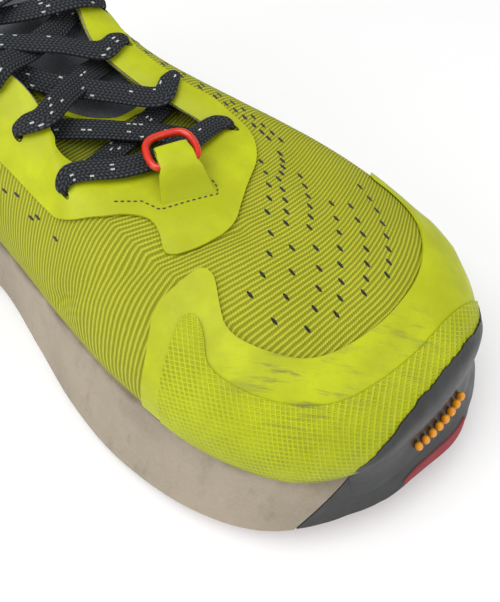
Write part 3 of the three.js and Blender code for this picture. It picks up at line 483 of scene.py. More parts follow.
class Finish:
    """One material and the nodes that make it."""

    def __init__(self, name, **fixed):
        self.material = bpy.data.materials.new(name)
        self.material.use_nodes = True
        self.tree = self.material.node_tree
        self.shader = self.tree.nodes["Principled BSDF"]
        for socket, value in fixed.items():
            self.shader.inputs[socket.replace("_", " ")].default_value = value

    def node(self, kind, settings=None, values=None, output=0):
        made = self.tree.nodes.new(kind)
        for key, value in (settings or {}).items():
            if key == "stops":
                fill_ramp(made.color_ramp, value)
            else:
                setattr(made, key, value)
        for key, value in (values or {}).items():
            self.feed(made.inputs[key], value)
        return Wire(self, made.outputs[output])

    def feed(self, socket, value):
        if isinstance(value, Wire):
            self.tree.links.new(value.socket, socket)
        elif isinstance(value, tuple) and len(value) == 3 and socket.type == "RGBA":
            socket.default_value = (*value, 1)
        else:
            socket.default_value = value

    def set(self, **wires):
        for name, value in wires.items():
            self.feed(self.shader.inputs[name.replace("_", " ")], value)

    def place(self):
        return self.node("ShaderNodeTexCoord", output="Object")

    def lay(self):
        made = self.node("ShaderNodeAttribute", {"attribute_name": "lay"}, output="Vector")
        return [
            self.node("ShaderNodeSeparateXYZ", None, {0: made}, output=k) for k in (0, 1, 2)
        ]

    def axes(self):
        return [
            self.node("ShaderNodeSeparateXYZ", None, {0: self.place()}, output=k)
            for k in (0, 1, 2)
        ]

    def noise(self, scale, detail=3.0, roughness=0.55, vector=None):
        values = {"Vector": vector or self.place(), "Scale": scale, "Detail": detail}
        return self.node("ShaderNodeTexNoise", None, {**values, "Roughness": roughness})

    def cells(self, scale, vector=None):
        return self.node("ShaderNodeTexVoronoi", None,
                         {"Vector": vector or self.place(), "Scale": scale})

    def ramp(self, value, stops):
        return self.node("ShaderNodeValToRGB", {"stops": stops}, {"Fac": value})

    def mix(self, share, first, second, blend="MIX"):
        settings = {"data_type": "RGBA", "blend_type": blend}
        return self.node("ShaderNodeMix", settings, {0: share, 6: first, 7: second}, output=2)

    def smooth(self, value, low, high):
        settings = {"interpolation_type": "SMOOTHSTEP"}
        values = {"Value": value, "From Min": low, "From Max": high}
        return self.node("ShaderNodeMapRange", settings, values)

    def bump(self, height, distance, strength=1.0):
        values = {"Height": height, "Distance": distance, "Strength": strength}
        self.set(Normal=self.node("ShaderNodeBump", None, values))

    def near(self, spot, reach):
        """1 at a spot of the shoe (table millimetres), fading to 0 at its reach."""
        centre = tuple(to_row(np.array(spot, float)))
        settings = {"operation": "DISTANCE"}
        away_from = self.node("ShaderNodeVectorMath", settings,
                              {0: self.place(), 1: centre}, output="Value")
        return self.smooth(away_from, reach * MM, 0.0)


def fill_ramp(ramp, stops):
    while len(ramp.elements) < len(stops):
        ramp.elements.new(0.5)
    for element, (position, color) in zip(ramp.elements, stops):
        element.position = position
        element.color = (*color, 1)


LIME = (0.50, 0.56, 0.006)
LIME_DEEP = (0.40, 0.44, 0.005)
# The knit's lime as lit on its ridges and as shaded in its grooves: painted highlight and painted shade.
MESH_RIDGE_LIT = (0.56, 0.58, 0.045)
MESH_GROOVE_SHADED = (0.27, 0.285, 0.01)


def scuffed(finish, color):
    """Grey rub marks on the toe, in streaks."""
    x, y, z = finish.axes()
    drag = {0: x * 9 + y * 4, 1: y * 60 - x * 40, 2: z * 30}
    stretched = finish.node("ShaderNodeCombineXYZ", None, drag)
    streaks = finish.smooth(finish.noise(7.0, 5.0, 0.65, stretched), 0.5, 0.68)
    toe = finish.near((252, -24, 60), 26).most(finish.near((268, 2, 56), 20) * 0.5)
    share = (streaks * toe * 0.75).least(0.8)
    return finish.mix(share, color, (0.10, 0.105, 0.06))


def film_material():
    finish = Finish("lime_film", Roughness=0.5, Specular_IOR_Level=0.28)
    mottled = finish.noise(60.0, 4.0)
    color = finish.mix(finish.smooth(mottled, 0.35, 0.7), LIME_DEEP, LIME)
    color = scuffed(finish, color)
    speckle = finish.smooth(finish.noise(900.0, 2.0), 0.62, 0.72)
    color = finish.mix(speckle * 0.25, color, (0.3, 0.33, 0.03))
    finish.set(Base_Color=color, Roughness=finish.noise(250.0, 3.0) * 0.25 + 0.36)
    finish.bump(finish.noise(1500.0, 2.0) * 0.5 + finish.noise(180.0, 3.0), 0.00012, 0.5)
    return finish.material


GUARD_CELL = 1.3  # millimetres between the embossed lines


def guard_material():
    """Film embossed with a small square grid, with painted shade in its sunken lines."""
    finish = Finish("lime_guard", Roughness=0.5, Specular_IOR_Level=0.25)
    across, along, _ = finish.lay()
    u = (across * 0.9 + along * 0.45) * (1 / GUARD_CELL)
    v = (along * 0.9 - across * 0.45) * (1 / GUARD_CELL)
    lines = ((u.fract() - 0.5).size()).most((v.fract() - 0.5).size())
    raised = finish.smooth(lines, 0.22, 0.42)
    mottled = finish.noise(60.0, 4.0)
    color = finish.mix(finish.smooth(mottled, 0.3, 0.7), (0.42, 0.47, 0.006), (0.50, 0.56, 0.008))
    patchy = finish.smooth(finish.noise(110.0, 4.0), 0.3, 0.75)
    spur = finish.near((212, -44, 55), 22)
    # Painted shade: the grid's sunken lines are darkened to a deep lime, more strongly in noisy patches
    # and near one spot on the outer side.
    groove_painted_shade = (1 - raised) * (patchy * 0.4 + spur * 0.35 + 0.15)
    color = finish.mix(groove_painted_shade, color, (0.16, 0.18, 0.01))
    color = scuffed(finish, color)
    low = finish.axes()[2]
    dirt = finish.smooth(low, 0.040, 0.0345) * finish.smooth(finish.noise(120.0, 4.0), 0.3, 0.7)
    color = finish.mix(dirt * 0.6, color, (0.12, 0.10, 0.04))
    finish.set(Base_Color=color, Roughness=finish.noise(250.0, 3.0) * 0.2 + 0.42)
    finish.bump(raised + finish.noise(1600.0, 2.0) * 0.3, 0.00028, 0.8)
    return finish.material


RIB_PITCH = 1.3
LOOP_PITCH = 0.75


def mesh_material(name, high=MESH_RIDGE_LIT, low=MESH_GROOVE_SHADED, pitch=RIB_PITCH):
    """Ribbed knit: a rib every pitch, with small loops along it. Its colour follows the rib height:
    painted highlight on the ridges and loops, painted shade in the grooves.
    """
    finish = Finish(name, Roughness=0.8, Specular_IOR_Level=0.2)
    across, along, _ = finish.lay()
    wobble = finish.noise(300.0, 2.0) * 0.35
    rib = (across + wobble).wave(pitch)
    loops = (along + across * 0.8).wave(LOOP_PITCH)
    height = rib * 0.75 + loops * rib * 0.55
    # Painted light and shade: lighter on the rib tops and loops, darker in the grooves, following the
    # bump's waves.
    shade = rib.power(1.6) * 0.6 + loops * rib * 0.4
    mottled = finish.noise(45.0, 3.0) * 0.35 - 0.17
    color = finish.mix(finish.smooth(shade + mottled, -0.1, 0.9), low, high)
    # Painted shade: darker where the loops and the ribs dip together.
    loop_painted_shade = (1 - loops) * (1 - rib)
    color = finish.mix(loop_painted_shade * 0.35, color, (0.10, 0.11, 0.006))
    finish.set(Base_Color=color, Roughness=0.9 - rib * 0.25)
    finish.bump(height, 0.00045, 0.75)
    return finish.material


# The charcoal braid as lit on its strand tops and as shaded between them: painted highlight and painted
# shade.
BRAID_SHADED = (0.008, 0.0095, 0.012)
BRAID_LIT = (0.05, 0.056, 0.064)
FLECK_LENGTH = 1.9
FLECK_WIDTH = 1.5


def lace_material():
    """Flat braid: slanting strands that meet along the middle, with pale flecks. Its colour follows the
    strands' relief: painted highlight on the strand tops, painted shade between them.
    """
    finish = Finish("charcoal_braid", Roughness=0.75, Specular_IOR_Level=0.3)
    along, across, _ = finish.lay()
    slope = across.wave(2.4)
    strand = (along + slope).wave(1.35)
    lanes = (across + 0.4).wave(0.95)
    height = strand * 0.7 + lanes * 0.3
    # Painted light and shade: lighter where strands and lanes rise, darker between them.
    color = finish.mix(finish.smooth(strand * lanes + 0.1, 0.1, 0.75), BRAID_SHADED, BRAID_LIT)
    steps = along * (1 / FLECK_LENGTH)
    lane = across * (1 / FLECK_WIDTH)
    seed = {0: steps.floor(), 1: lane.floor(), 2: 0.5}
    seeds = finish.node("ShaderNodeCombineXYZ", None, seed)
    chance = finish.node("ShaderNodeTexWhiteNoise", None, {"Vector": seeds})
    in_dash = steps.from_edge().above(0.2)
    in_lane = lane.from_edge().above(0.34)
    fleck = chance.above(0.88) * in_dash * in_lane
    color = finish.mix(fleck * 0.9, color, (0.62, 0.63, 0.62))
    finish.set(Base_Color=color, Roughness=0.85 - strand * 0.2)
    finish.bump(height, 0.0004, 0.9)
    return finish.material


def foam_material():
    finish = Finish("taupe_foam", Roughness=0.75)
    x, y, z = finish.axes()
    grain = finish.noise(1200.0, 3.0, 0.7)
    mottled = finish.noise(28.0, 4.0)
    color = finish.mix(finish.smooth(mottled, 0.3, 0.7), (0.27, 0.225, 0.165), (0.36, 0.30, 0.225))
    color = finish.mix(finish.smooth(grain, 0.3, 0.75) * 0.3, color, (0.45, 0.39, 0.31))
    drag = finish.node("ShaderNodeCombineXYZ", None, {0: x * 14, 1: y * 14, 2: z * 1.5})
    streaks = finish.smooth(finish.noise(14.0, 5.0, 0.6, drag), 0.52, 0.75)
    color = finish.mix(streaks * 0.3, color, (0.15, 0.115, 0.075))
    under_edge = finish.smooth(z, 0.029, 0.0335)
    soil = finish.smooth(finish.noise(90.0, 5.0), 0.35, 0.7)
    color = finish.mix(under_edge * soil * 0.55, color, (0.10, 0.08, 0.05))
    corner = finish.near((272, -38, 28), 26) * soil
    color = finish.mix(corner * 0.5, color, (0.17, 0.125, 0.07))
    finish.set(Base_Color=color, Roughness=finish.noise(300.0, 3.0) * 0.2 + 0.62)
    finish.bump(grain * 0.6 + finish.cells(900.0) * 0.5, 0.00018, 0.5)
    return finish.material


def rubber_material(name, base, worn, shine=0.42):
    finish = Finish(name, Roughness=shine)
    mottled = finish.noise(40.0, 4.0)
    color = finish.mix(finish.smooth(mottled, 0.35, 0.75), base, worn)
    dust = finish.smooth(finish.noise(160.0, 6.0, 0.7), 0.58, 0.78)
    color = finish.mix(dust * 0.15, color, (0.2, 0.17, 0.13))
    finish.set(Base_Color=color, Roughness=finish.noise(120.0, 4.0) * 0.3 + shine - 0.12)
    finish.bump(finish.noise(700.0, 4.0, 0.7) + finish.noise(90.0, 3.0) * 2, 0.00025, 0.4)
    return finish.material


def cloth_material(name, high, low, weave=0.9):
    """Plain woven cloth: over and under in a small check, coloured lighter where the bump rises and
    darker where it sinks, as painted light and shade.
    """
    finish = Finish(name, Roughness=0.9, Sheen_Weight=0.25)
    x, y, z = finish.axes()
    warp = ((x + z * 0.7) * 1000).wave(weave)
    weft = ((y + z * 0.7) * 1000).wave(weave)
    check = (warp * weft) + (1 - warp) * (1 - weft)
    # Painted light and shade: the check's colour follows the weave's bump.
    color = finish.mix(finish.smooth(check, 0.15, 0.8), low, high)
    color = finish.mix(finish.smooth(finish.noise(50.0, 3.0), 0.4, 0.8) * 0.4, color, low)
    finish.set(Base_Color=color, Roughness=0.95 - check * 0.12)
    finish.bump(check, 0.0003, 0.7)
    return finish.material


def plastic_material(name, base, shine=0.25):
    finish = Finish(name, Roughness=shine, Coat_Weight=0.4)
    scratches = finish.noise(500.0, 4.0, 0.7)
    deep = tuple(0.6 * v for v in base)
    finish.set(
        Base_Color=finish.mix(finish.smooth(scratches, 0.45, 0.75) * 0.5, base, deep),
        Roughness=scratches * 0.2 + shine - 0.05,
    )
    finish.bump(scratches, 0.00006, 0.4)
    return finish.material


# ---- camera, light and floor ----

CAMERA_PLACE = (284.6, -84.3, 189.0)
CAMERA_TURN = 38.71  # degrees from straight along +Y
CAMERA_TILT = 55.33  # degrees below the horizon
CAMERA_ROLL = 0.39
CAMERA_LENS = 22.495
FILM_HEIGHT = 24


def set_camera():
    turn, tilt = math.radians(CAMERA_TURN), math.radians(CAMERA_TILT)
    right = Vector((math.cos(turn), math.sin(turn), 0))
    forward = Vector((-math.sin(turn) * math.cos(tilt), math.cos(turn) * math.cos(tilt),
                      -math.sin(tilt)))
    upright = right.cross(forward)
    axes = Matrix((right, upright, -forward)).transposed()
    axes = axes @ Matrix.Rotation(math.radians(CAMERA_ROLL), 3, "Z")
    data = bpy.data.cameras.new("camera")
    data.sensor_fit = "VERTICAL"
    data.sensor_height = FILM_HEIGHT
    data.lens = CAMERA_LENS
    data.clip_start = 0.01
    camera = bpy.data.objects.new("camera", data)
    camera.matrix_world = Matrix.Translation(Vector(to_row(CAMERA_PLACE))) @ axes.to_4x4()
    bpy.context.scene.collection.objects.link(camera)
    bpy.context.scene.camera = camera


# Soft lamps: name, place in metres, size in metres, power in watts.
LAMPS = (
    ("overhead", (-0.15, -0.45, 1.5), 1.3, 17),
    ("front", (1.2, 0.2, 0.9), 1.0, 4),
    ("side", (-0.3, -1.4, 0.8), 1.0, 5.5),
)
LAMPS_AIM = (0, 0, 0.04)
ROOM_LIGHT = 0.45


def set_light():
    for name, place, size, power in LAMPS:
        data = bpy.data.lights.new(name, "AREA")
        data.size = size
        data.energy = power
        lamp = bpy.data.objects.new(name, data)
        way = Vector(LAMPS_AIM) - Vector(place)
        turn = way.to_track_quat("-Z", "Y").to_matrix().to_4x4()
        lamp.matrix_world = Matrix.Translation(Vector(place)) @ turn
        bpy.context.scene.collection.objects.link(lamp)
    world = bpy.data.worlds.new("soft_room")
    world.use_nodes = True
    background = world.node_tree.nodes["Background"]
    background.inputs["Color"].default_value = (1, 1, 1, 1)
    background.inputs["Strength"].default_value = ROOM_LIGHT
    bpy.context.scene.world = world
    bpy.context.scene.view_settings.view_transform = "Standard"


def set_floor():
    finish = Finish("pale_floor", Roughness=0.9)
    finish.set(Base_Color=finish.mix(finish.noise(3.0, 2.0), (0.92, 0.92, 0.92), (0.96, 0.96, 0.96)))
    mesh = bpy.data.meshes.new("floor")
    reach = 4.0
    corners = [(-reach, -reach, 0), (reach, -reach, 0), (reach, reach, 0), (-reach, reach, 0)]
    mesh.from_pydata(corners, [], [(0, 1, 2, 3)])
    floor = bpy.data.objects.new("floor", mesh)
    mesh.materials.append(finish.material)
    bpy.context.scene.collection.objects.link(floor)


set_camera()
set_light()
set_floor()

# ---- materials in use ----

film = film_material()
guard = guard_material()
rib_mesh = mesh_material("rib_mesh")
# The tongue's lime knit, darker than the upper's as painted shade for where it lies down in the throat.
# Its ribs carry the same painted highlight and shade.
tongue_mesh_shaded = mesh_material("tongue_mesh_shaded", (0.40, 0.44, 0.03), (0.13, 0.15, 0.012), 1.0)
braid = lace_material()
foam = foam_material()
black_rubber = rubber_material("black_rubber", (0.016, 0.017, 0.018), (0.036, 0.037, 0.038))
red_rubber = rubber_material("red_rubber", (0.27, 0.016, 0.024), (0.19, 0.013, 0.018), 0.5)
yellow = rubber_material("yellow_badge", (0.83, 0.33, 0.005), (0.68, 0.24, 0.005), 0.4)
lining = cloth_material("dark_lining", (0.055, 0.06, 0.07), (0.015, 0.017, 0.02))
board = cloth_material("pale_board", (0.5, 0.48, 0.44), (0.36, 0.34, 0.3), 1.6)
patch = cloth_material("charcoal_patch", (0.09, 0.10, 0.115), (0.045, 0.05, 0.058), 0.7)
webbing = cloth_material("dark_webbing", (0.075, 0.08, 0.09), (0.02, 0.022, 0.026), 1.4)
red_plastic = plastic_material("red_wire", (0.66, 0.022, 0.003))
black_plastic = plastic_material("black_plastic", (0.015, 0.015, 0.017))
binding = cloth_material("pale_binding", (0.42, 0.40, 0.22), (0.22, 0.21, 0.10), 0.7)
thread = cloth_material("dark_thread", (0.10, 0.11, 0.03), (0.04, 0.045, 0.015), 0.5)
hole_dark = cloth_material("hole_shadow", (0.012, 0.013, 0.003), (0.003, 0.003, 0.001), 0.6)


# ---- sole ----

BUMPER_TOP_SPREAD = 0.09
BUMPER_FOOT_SPREAD = 0.118


def bumper_spread(s):
    """The toe bumper's half width round the toe, which widens down the wall."""
    return BUMPER_TOP_SPREAD + (BUMPER_FOOT_SPREAD - BUMPER_TOP_SPREAD) * s


def ring_places(s, back=130, toe=44):
    spread = bumper_spread(s)
    half_a = np.concatenate([
        (0.5 - spread) * np.arange(back + 1) / back,
        0.5 - spread + spread * np.arange(toe + 1) / toe,
    ])
    half_inset = np.concatenate([np.zeros(back + 1), np.full(toe + 1, BUMPER + 0.6)])
    a = np.concatenate([half_a, 1 - half_a[1:-1][::-1]])
    return a, np.concatenate([half_inset, half_inset[1:-1][::-1]])


def make_midsole():
    rings = []
    inner = []
    for s in np.linspace(0, 1, 22):
        a, inset = ring_places(s)
        rings.append(wall_point(a, s, inset))
    rounding = rings[0].copy()
    a, inset = ring_places(0.0)
    rounding += outward_of(feather_keys, a) * -1.2
    rounding[:, 2] += 0.25
    rings.insert(0, rounding)
    a, inset = ring_places(1.0)
    for distance, height in ((0.6, 4.2), (1.8, 3.6), (5.9, 3.6), (5.9, 6.2)):
        ring = offset_line(sole_keys, a, -np.maximum(distance, inset + min(distance, 1.0)))
        ring[:, 2] = ground_height(ring[:, 0]) + height
        rings.append(ring)
    count = len(a)
    points = np.concatenate(rings)
    faces = []
    for k in range(len(rings) - 1):
        i = np.arange(count)
        following = (i + 1) % count
        quads = np.stack([i, following, following + count, i + count], axis=1) + k * count
        faces += quads.tolist()
    for start in (0, (len(rings) - 1) * count):
        for i in range(count // 2):
            quad = [start + v for v in (i, i + 1, (count - i - 1) % count, (count - i) % count)]
            faces.append(list(dict.fromkeys(quad)))
    piece = make_object("foam_midsole", points, faces)
    return finish_piece(piece, "midsole_foam", "shoe", foam, "midsole")


def ragged(place, reach, seed):
    return reach * noise.noise(Vector((place * 90, seed, 0.5)))


def make_bumper():
    edge = 0.0012
    shares = np.linspace(-1, 1, 150)
    heights = np.linspace(0, 1, 30)
    u, s = np.meshgrid(shares, heights, indexing="ij")
    top = np.array([0.035 + 0.05 * abs(ragged(x, 1.0, 3.0)) + 0.012 * math.sin(x * 60) for x in shares])
    s = s + (1 - s) * top[:, None] * 0.5
    a = 0.5 + (bumper_spread(s) - edge) * u
    dents = np.vectorize(lambda p, q: noise.noise(Vector((p * 14, q * 5, 1.7))))(u, s) * 0.25
    edge_round = np.minimum(1, np.minimum(s - s.min(axis=1, keepdims=True), 1) * 14)
    outer = wall_point(a, s, 0.55 * (1 - edge_round) - np.minimum(dents, 0.0) + 0.05)
    inner = wall_point(a, s, BUMPER)
    piece = slab_object("rubber_toe_bumper", outer, inner)
    return finish_piece(piece, "bumper_rubber", "shoe", black_rubber, "toe_bumper")


def make_red_lip():
    """The forefoot rubber's lip, wrapped up the front of the toe."""
    u, s = np.meshgrid(np.linspace(0.495, 0.56, 60), np.linspace(0.86, 1.0, 8), indexing="ij")
    s = 0.93 + (s - 0.93) * np.sin(np.clip((u - 0.495) / 0.065, 0.02, 0.98) * math.pi) ** 0.5
    piece = slab_object("red_toe_lip", wall_point(u, s, -0.35), wall_point(u, s, 0.3))
    return finish_piece(piece, "outsole_rubber", "shoe", red_rubber)


# ---- upper ----


def make_shell():
    a = np.arange(300) / 300
    t = np.linspace(0, 1, 70)
    a_grid, t_grid = np.meshgrid(a, t, indexing="ij")
    outer = skin(a_grid, t_grid, 0.0)
    inner = skin(a_grid, t_grid, -SHELL)
    lay = lay_of(outer, a_grid, t_grid)
    piece = slab_object("ribbed_upper", outer, inner, True, lay)
    return finish_piece(piece, "mesh", "shoe", rib_mesh, "upper_mesh")


# Outlines of the thin pieces on the upper, as (round the foot, up the side).
TOE_PANEL = [
    (0.325, 0.015), (0.36, 0.38), (0.38, 0.5), (0.39, 0.45), (0.41, 0.44), (0.46, 0.47),
    (0.51, 0.485), (0.57, 0.485), (0.595, 0.53), (0.61, 0.58), (0.6, 0.66), (0.585, 0.74),
    (0.6, 0.74), (0.645, 0.63), (0.665, 0.5), (0.685, 0.28), (0.695, 0.015),
]
GUARD_PANEL = [
    (0.425, 0.02), (0.45, 0.24), (0.47, 0.33), (0.5, 0.36), (0.57, 0.365), (0.6, 0.38),
    (0.625, 0.43), (0.635, 0.48), (0.625, 0.56), (0.62, 0.62), (0.635, 0.6), (0.66, 0.45),
    (0.675, 0.28), (0.685, 0.02),
]
EYESTAY_OUTER = [
    (0.87, 0.97), (0.85, 0.82), (0.8, 0.66), (0.77, 0.64), (0.735, 0.65), (0.71, 0.72),
    (0.68, 0.8), (0.65, 0.845), (0.625, 0.87), (0.6, 0.87), (0.605, 0.82), (0.617, 0.765),
    (0.58, 0.8), (0.53, 0.825), (0.5, 0.855), (0.46, 0.875), (0.4, 0.87), (0.34, 0.83),
    (0.305, 0.78), (0.29, 0.81), (0.2, 0.8), (0.17, 0.86), (0.165, 0.97),
]
# The toe rubber's top edge arches over the toe between these places round the foot.
RUBBER_START = 0.43
RUBBER_END = 0.591
RUBBER_FOOT = 0.012
RUBBER_ARCH = 0.225


def throat_edge(places):
    """The eyestay's edge along the throat, a little in from the shell's."""
    return [(a, 0.997) for a in places]


def in_from_edge(edge, distance):
    """The place on the upper at a distance in from the throat's edge, square to the edge."""
    step = 1e-3
    start = loop_points(edge_keys, edge)
    tangent = unit(loop_points(edge_keys, edge + step) - loop_points(edge_keys, edge - step))
    best = np.array([edge, 0.84])
    best_error = 1e9
    reach = 1.0
    shares = np.arange(11) / 5 - 1
    while reach > 0.01:
        a, t = np.meshgrid(best[0] + 0.09 * reach * shares,
                           np.minimum(1, best[1] + 0.16 * reach * shares), indexing="ij")
        way = upper_point(a, t) - start
        error = np.hypot(np.linalg.norm(way, axis=-1) - distance, way @ tangent)
        spot = np.unravel_index(error.argmin(), error.shape)
        if error[spot] < best_error:
            best_error = error[spot]
            best = np.array([a[spot], t[spot]])
        reach *= 0.4
    return best


EYELET_INSET = 8.5


def eyelet_row(first, steps, direction):
    stride = 1e-3 * direction
    edge = first
    walked = 0.0
    row = []
    for distance in steps:
        while walked < distance:
            walked += np.linalg.norm(
                loop_points(edge_keys, edge) - loop_points(edge_keys, edge + stride)
            )
            edge += stride
        row.append(edge)
    return row


inner_eyelets = eyelet_row(0.39, [0, 17, 40, 59, 76], -1)
outer_eyelets = eyelet_row(0.655, [0, 18, 38, 57, 74], 1)


def make_toe_lip():
    """Rubber from halfway up the toe's wall, over the edge and onto the upper."""
    share = np.linspace(0, 1, 220)
    a = RUBBER_START + (RUBBER_END - RUBBER_START) * share
    top = RUBBER_FOOT + RUBBER_ARCH * np.sqrt(np.clip(np.sin(math.pi * share), 0, 1))
    top = top + np.array([ragged(x, 0.012, 7.0) + ragged(x * 5, 0.006, 2.0) for x in a])
    top = np.maximum(top, RUBBER_FOOT)
    swelling = np.clip((top - RUBBER_FOOT) / 0.16, 0.1, 1)
    v = np.linspace(0, 1, 34)
    layers = []
    for lifts in ((0.1, 0.7, 1.5, 2.5, 2.5, 2.25), (-1.2, -0.9, -0.6, 1.0, 1.2, 1.25)):
        stations = [
            wall_point(a, 0.62, -lifts[0] * swelling),
            wall_point(a, 0.28, -lifts[1] * swelling),
            wall_point(a, 0.0, -lifts[2] * swelling),
            skin(a, top * 0.3, lifts[3] * (0.35 + 0.65 * swelling)),
            skin(a, top * 0.7, lifts[4] * (0.5 + 0.5 * swelling)),
            skin(a, top, lifts[5] * (0.6 + 0.4 * swelling)),
        ]
        paths = np.stack(stations, axis=1)
        layers.append(np.stack([open_curve(path, v) for path in paths]))
    piece = slab_object("toe_rubber_lip", *layers)
    finish_piece(piece, "bumper_rubber", "shoe", black_rubber, "toe_rand")


def make_overlays():
    toe = panel("toe_film", TOE_PANEL, SKIN_GAP, FILM, passes=2)
    finish_piece(toe, "film", "shoe", film, "toe_overlay")
    embossed = panel("toe_guard_film", GUARD_PANEL, 2 * SKIN_GAP + FILM - 0.3, FILM * 0.8, passes=2)
    finish_piece(embossed, "guard", "shoe", guard, "toe_guard")
    holes = [
        circle_on_skin(*in_from_edge(edge, EYELET_INSET), 2.4)
        for edge in inner_eyelets + outer_eyelets
    ]
    throat = throat_edge(np.linspace(0.17, 0.862, 60))
    stay = panel("eyestay_film", EYESTAY_OUTER + throat, SKIN_GAP, EYESTAY, holes, passes=2)
    finish_piece(stay, "film", "shoe", film, "eyestay")
    wrap = panel(
        "heel_film",
        [(-0.095, 0.04), (-0.082, 0.3), (-0.065, 0.42), (-0.035, 0.58), (0, 0.68), (0.035, 0.58),
         (0.065, 0.42), (0.082, 0.3), (0.095, 0.04)],
        SKIN_GAP, FILM,
    )
    finish_piece(wrap, "film", "shoe", film, "heel_wrap")
    for name, centre, lean in (("inner", 0.14, 0.03), ("outer", 0.888, -0.03)):
        shares = np.linspace(0, 1, 8)
        half = 0.009 * (1 - 0.35 * shares)
        outline = [(centre + lean * v - h, 0.03 + 0.59 * v) for v, h in zip(shares, half)]
        outline += [(centre + lean * v + h, 0.03 + 0.59 * v) for v, h in zip(shares[::-1], half[::-1])]
        band = panel(f"quarter_film_{name}", outline, SKIN_GAP, FILM)
        finish_piece(band, "film", "shoe", film, f"quarter_band_{name}")


# ---- things repeated along the surface ----


def scatter_tree():
    """Lays a small rounded shape at every point, lengthwise along the point's direction."""
    tree = bpy.data.node_groups.new("small_shapes", "GeometryNodeTree")
    face = tree.interface
    face.new_socket("Points", in_out="INPUT", socket_type="NodeSocketGeometry")
    for name in ("Length", "Width", "Height"):
        face.new_socket(name, in_out="INPUT", socket_type="NodeSocketFloat")
    face.new_socket("Finish", in_out="INPUT", socket_type="NodeSocketMaterial")
    face.new_socket("Shapes", in_out="OUTPUT", socket_type="NodeSocketGeometry")
    nodes, links = tree.nodes, tree.links
    given = nodes.new("NodeGroupInput")
    result = nodes.new("NodeGroupOutput")
    ball = nodes.new("GeometryNodeMeshUVSphere")
    ball.inputs["Segments"].default_value = 10
    ball.inputs["Rings"].default_value = 6
    ball.inputs["Radius"].default_value = 0.5
    sizes = nodes.new("ShaderNodeCombineXYZ")
    for k, name in enumerate(("Length", "Width", "Height")):
        links.new(given.outputs[name], sizes.inputs[k])
    shaped = nodes.new("GeometryNodeTransform")
    links.new(ball.outputs["Mesh"], shaped.inputs["Geometry"])
    links.new(sizes.outputs[0], shaped.inputs["Scale"])
    turns = []
    for attribute, axis, pivot in (("facing", "Z", "AUTO"), ("along", "X", "Z")):
        read = nodes.new("GeometryNodeInputNamedAttribute")
        read.data_type = "FLOAT_VECTOR"
        read.inputs["Name"].default_value = attribute
        turn = nodes.new("FunctionNodeAlignRotationToVector")
        turn.axis = axis
        turn.pivot_axis = pivot
        links.new(read.outputs["Attribute"], turn.inputs["Vector"])
        if turns:
            links.new(turns[-1].outputs["Rotation"], turn.inputs["Rotation"])
        turns.append(turn)
    placed = nodes.new("GeometryNodeInstanceOnPoints")
    links.new(given.outputs["Points"], placed.inputs["Points"])
    links.new(shaped.outputs["Geometry"], placed.inputs["Instance"])
    links.new(turns[-1].outputs["Rotation"], placed.inputs["Rotation"])
    real = nodes.new("GeometryNodeRealizeInstances")
    links.new(placed.outputs["Instances"], real.inputs["Geometry"])
    dressed = nodes.new("GeometryNodeSetMaterial")
    links.new(real.outputs["Geometry"], dressed.inputs["Geometry"])
    links.new(given.outputs["Finish"], dressed.inputs["Material"])
    links.new(dressed.outputs["Geometry"], result.inputs["Shapes"])
    return tree


small_shapes = scatter_tree()


def scatter(name, places, facing, along, size, material):
    """One mesh of small shapes at places (table millimetres); size is length, width, height."""
    mesh = bpy.data.meshes.new(name + "_points")
    mesh.from_pydata(to_row(places).tolist(), [], [])
    for attribute, values in (("facing", facing), ("along", along)):
        layer = mesh.attributes.new(attribute, "FLOAT_VECTOR", "POINT")
        layer.data.foreach_set("vector", np.asarray(values, np.float32).ravel())
    points = bpy.data.objects.new(name + "_points", mesh)
    bpy.context.scene.collection.objects.link(points)
    modifier = points.modifiers.new("shapes", "NODES")
    modifier.node_group = small_shapes
    sockets = {item.name: item.identifier for item in small_shapes.interface.items_tree}
    for label, value in zip(("Length", "Width", "Height"), size):
        modifier[sockets[label]] = value * MM
    modifier[sockets["Finish"]] = material
    bpy.context.view_layer.update()
    evaluated = points.evaluated_get(bpy.context.evaluated_depsgraph_get())
    baked = bpy.data.meshes.new_from_object(evaluated)
    bpy.data.objects.remove(points)
    baked.name = name
    baked.shade_smooth()
    piece = bpy.data.objects.new(name, baked)
    bpy.context.scene.collection.objects.link(piece)
    return piece


# Rows of perforations: corners of each row as (a, t), and how many there are.
PERFORATION_ROWS = [
    ([(0.42, 0.86), (0.49, 0.81), (0.575, 0.67)], 9),
    ([(0.395, 0.8), (0.44, 0.82), (0.49, 0.77), (0.575, 0.6)], 13),
    ([(0.42, 0.77), (0.48, 0.73), (0.56, 0.56)], 11),
    ([(0.44, 0.7), (0.49, 0.65), (0.535, 0.56)], 8),
    ([(0.435, 0.655), (0.505, 0.56)], 7),
    ([(0.405, 0.6), (0.48, 0.54)], 8),
    ([(0.37, 0.79), (0.3, 0.74), (0.22, 0.735)], 13),
    ([(0.365, 0.74), (0.3, 0.69), (0.23, 0.69)], 12),
    ([(0.735, 0.57), (0.83, 0.57)], 6),
    ([(0.76, 0.54), (0.83, 0.53)], 4),
]


def make_badge():
    """A row of plain rounded bars, all alike."""
    a = np.linspace(0.494, 0.540, 8)
    s = np.full(8, 0.32)
    places = wall_point(a, s, -1.5)
    outward = unit(wall_point(a, s, -3.0) - wall_point(a, s, 0.0))
    upward = unit(wall_point(a, s - 0.1, 0.0) - wall_point(a, s + 0.1, 0.0))
    piece = scatter("toe_bars", places, outward, upward, (5.6, 2.3, 2.6), yellow)
    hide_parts("toe_badge")
    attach(piece, "shoe")


def rib_crossing(points, normals):
    """Unit directions on the surface, square to the ribs."""
    shoe_length = np.tile([1.0, -0.2, 0.0], (len(points), 1))
    flat = shoe_length - normals * (shoe_length * normals).sum(axis=1, keepdims=True)
    return unit(flat)


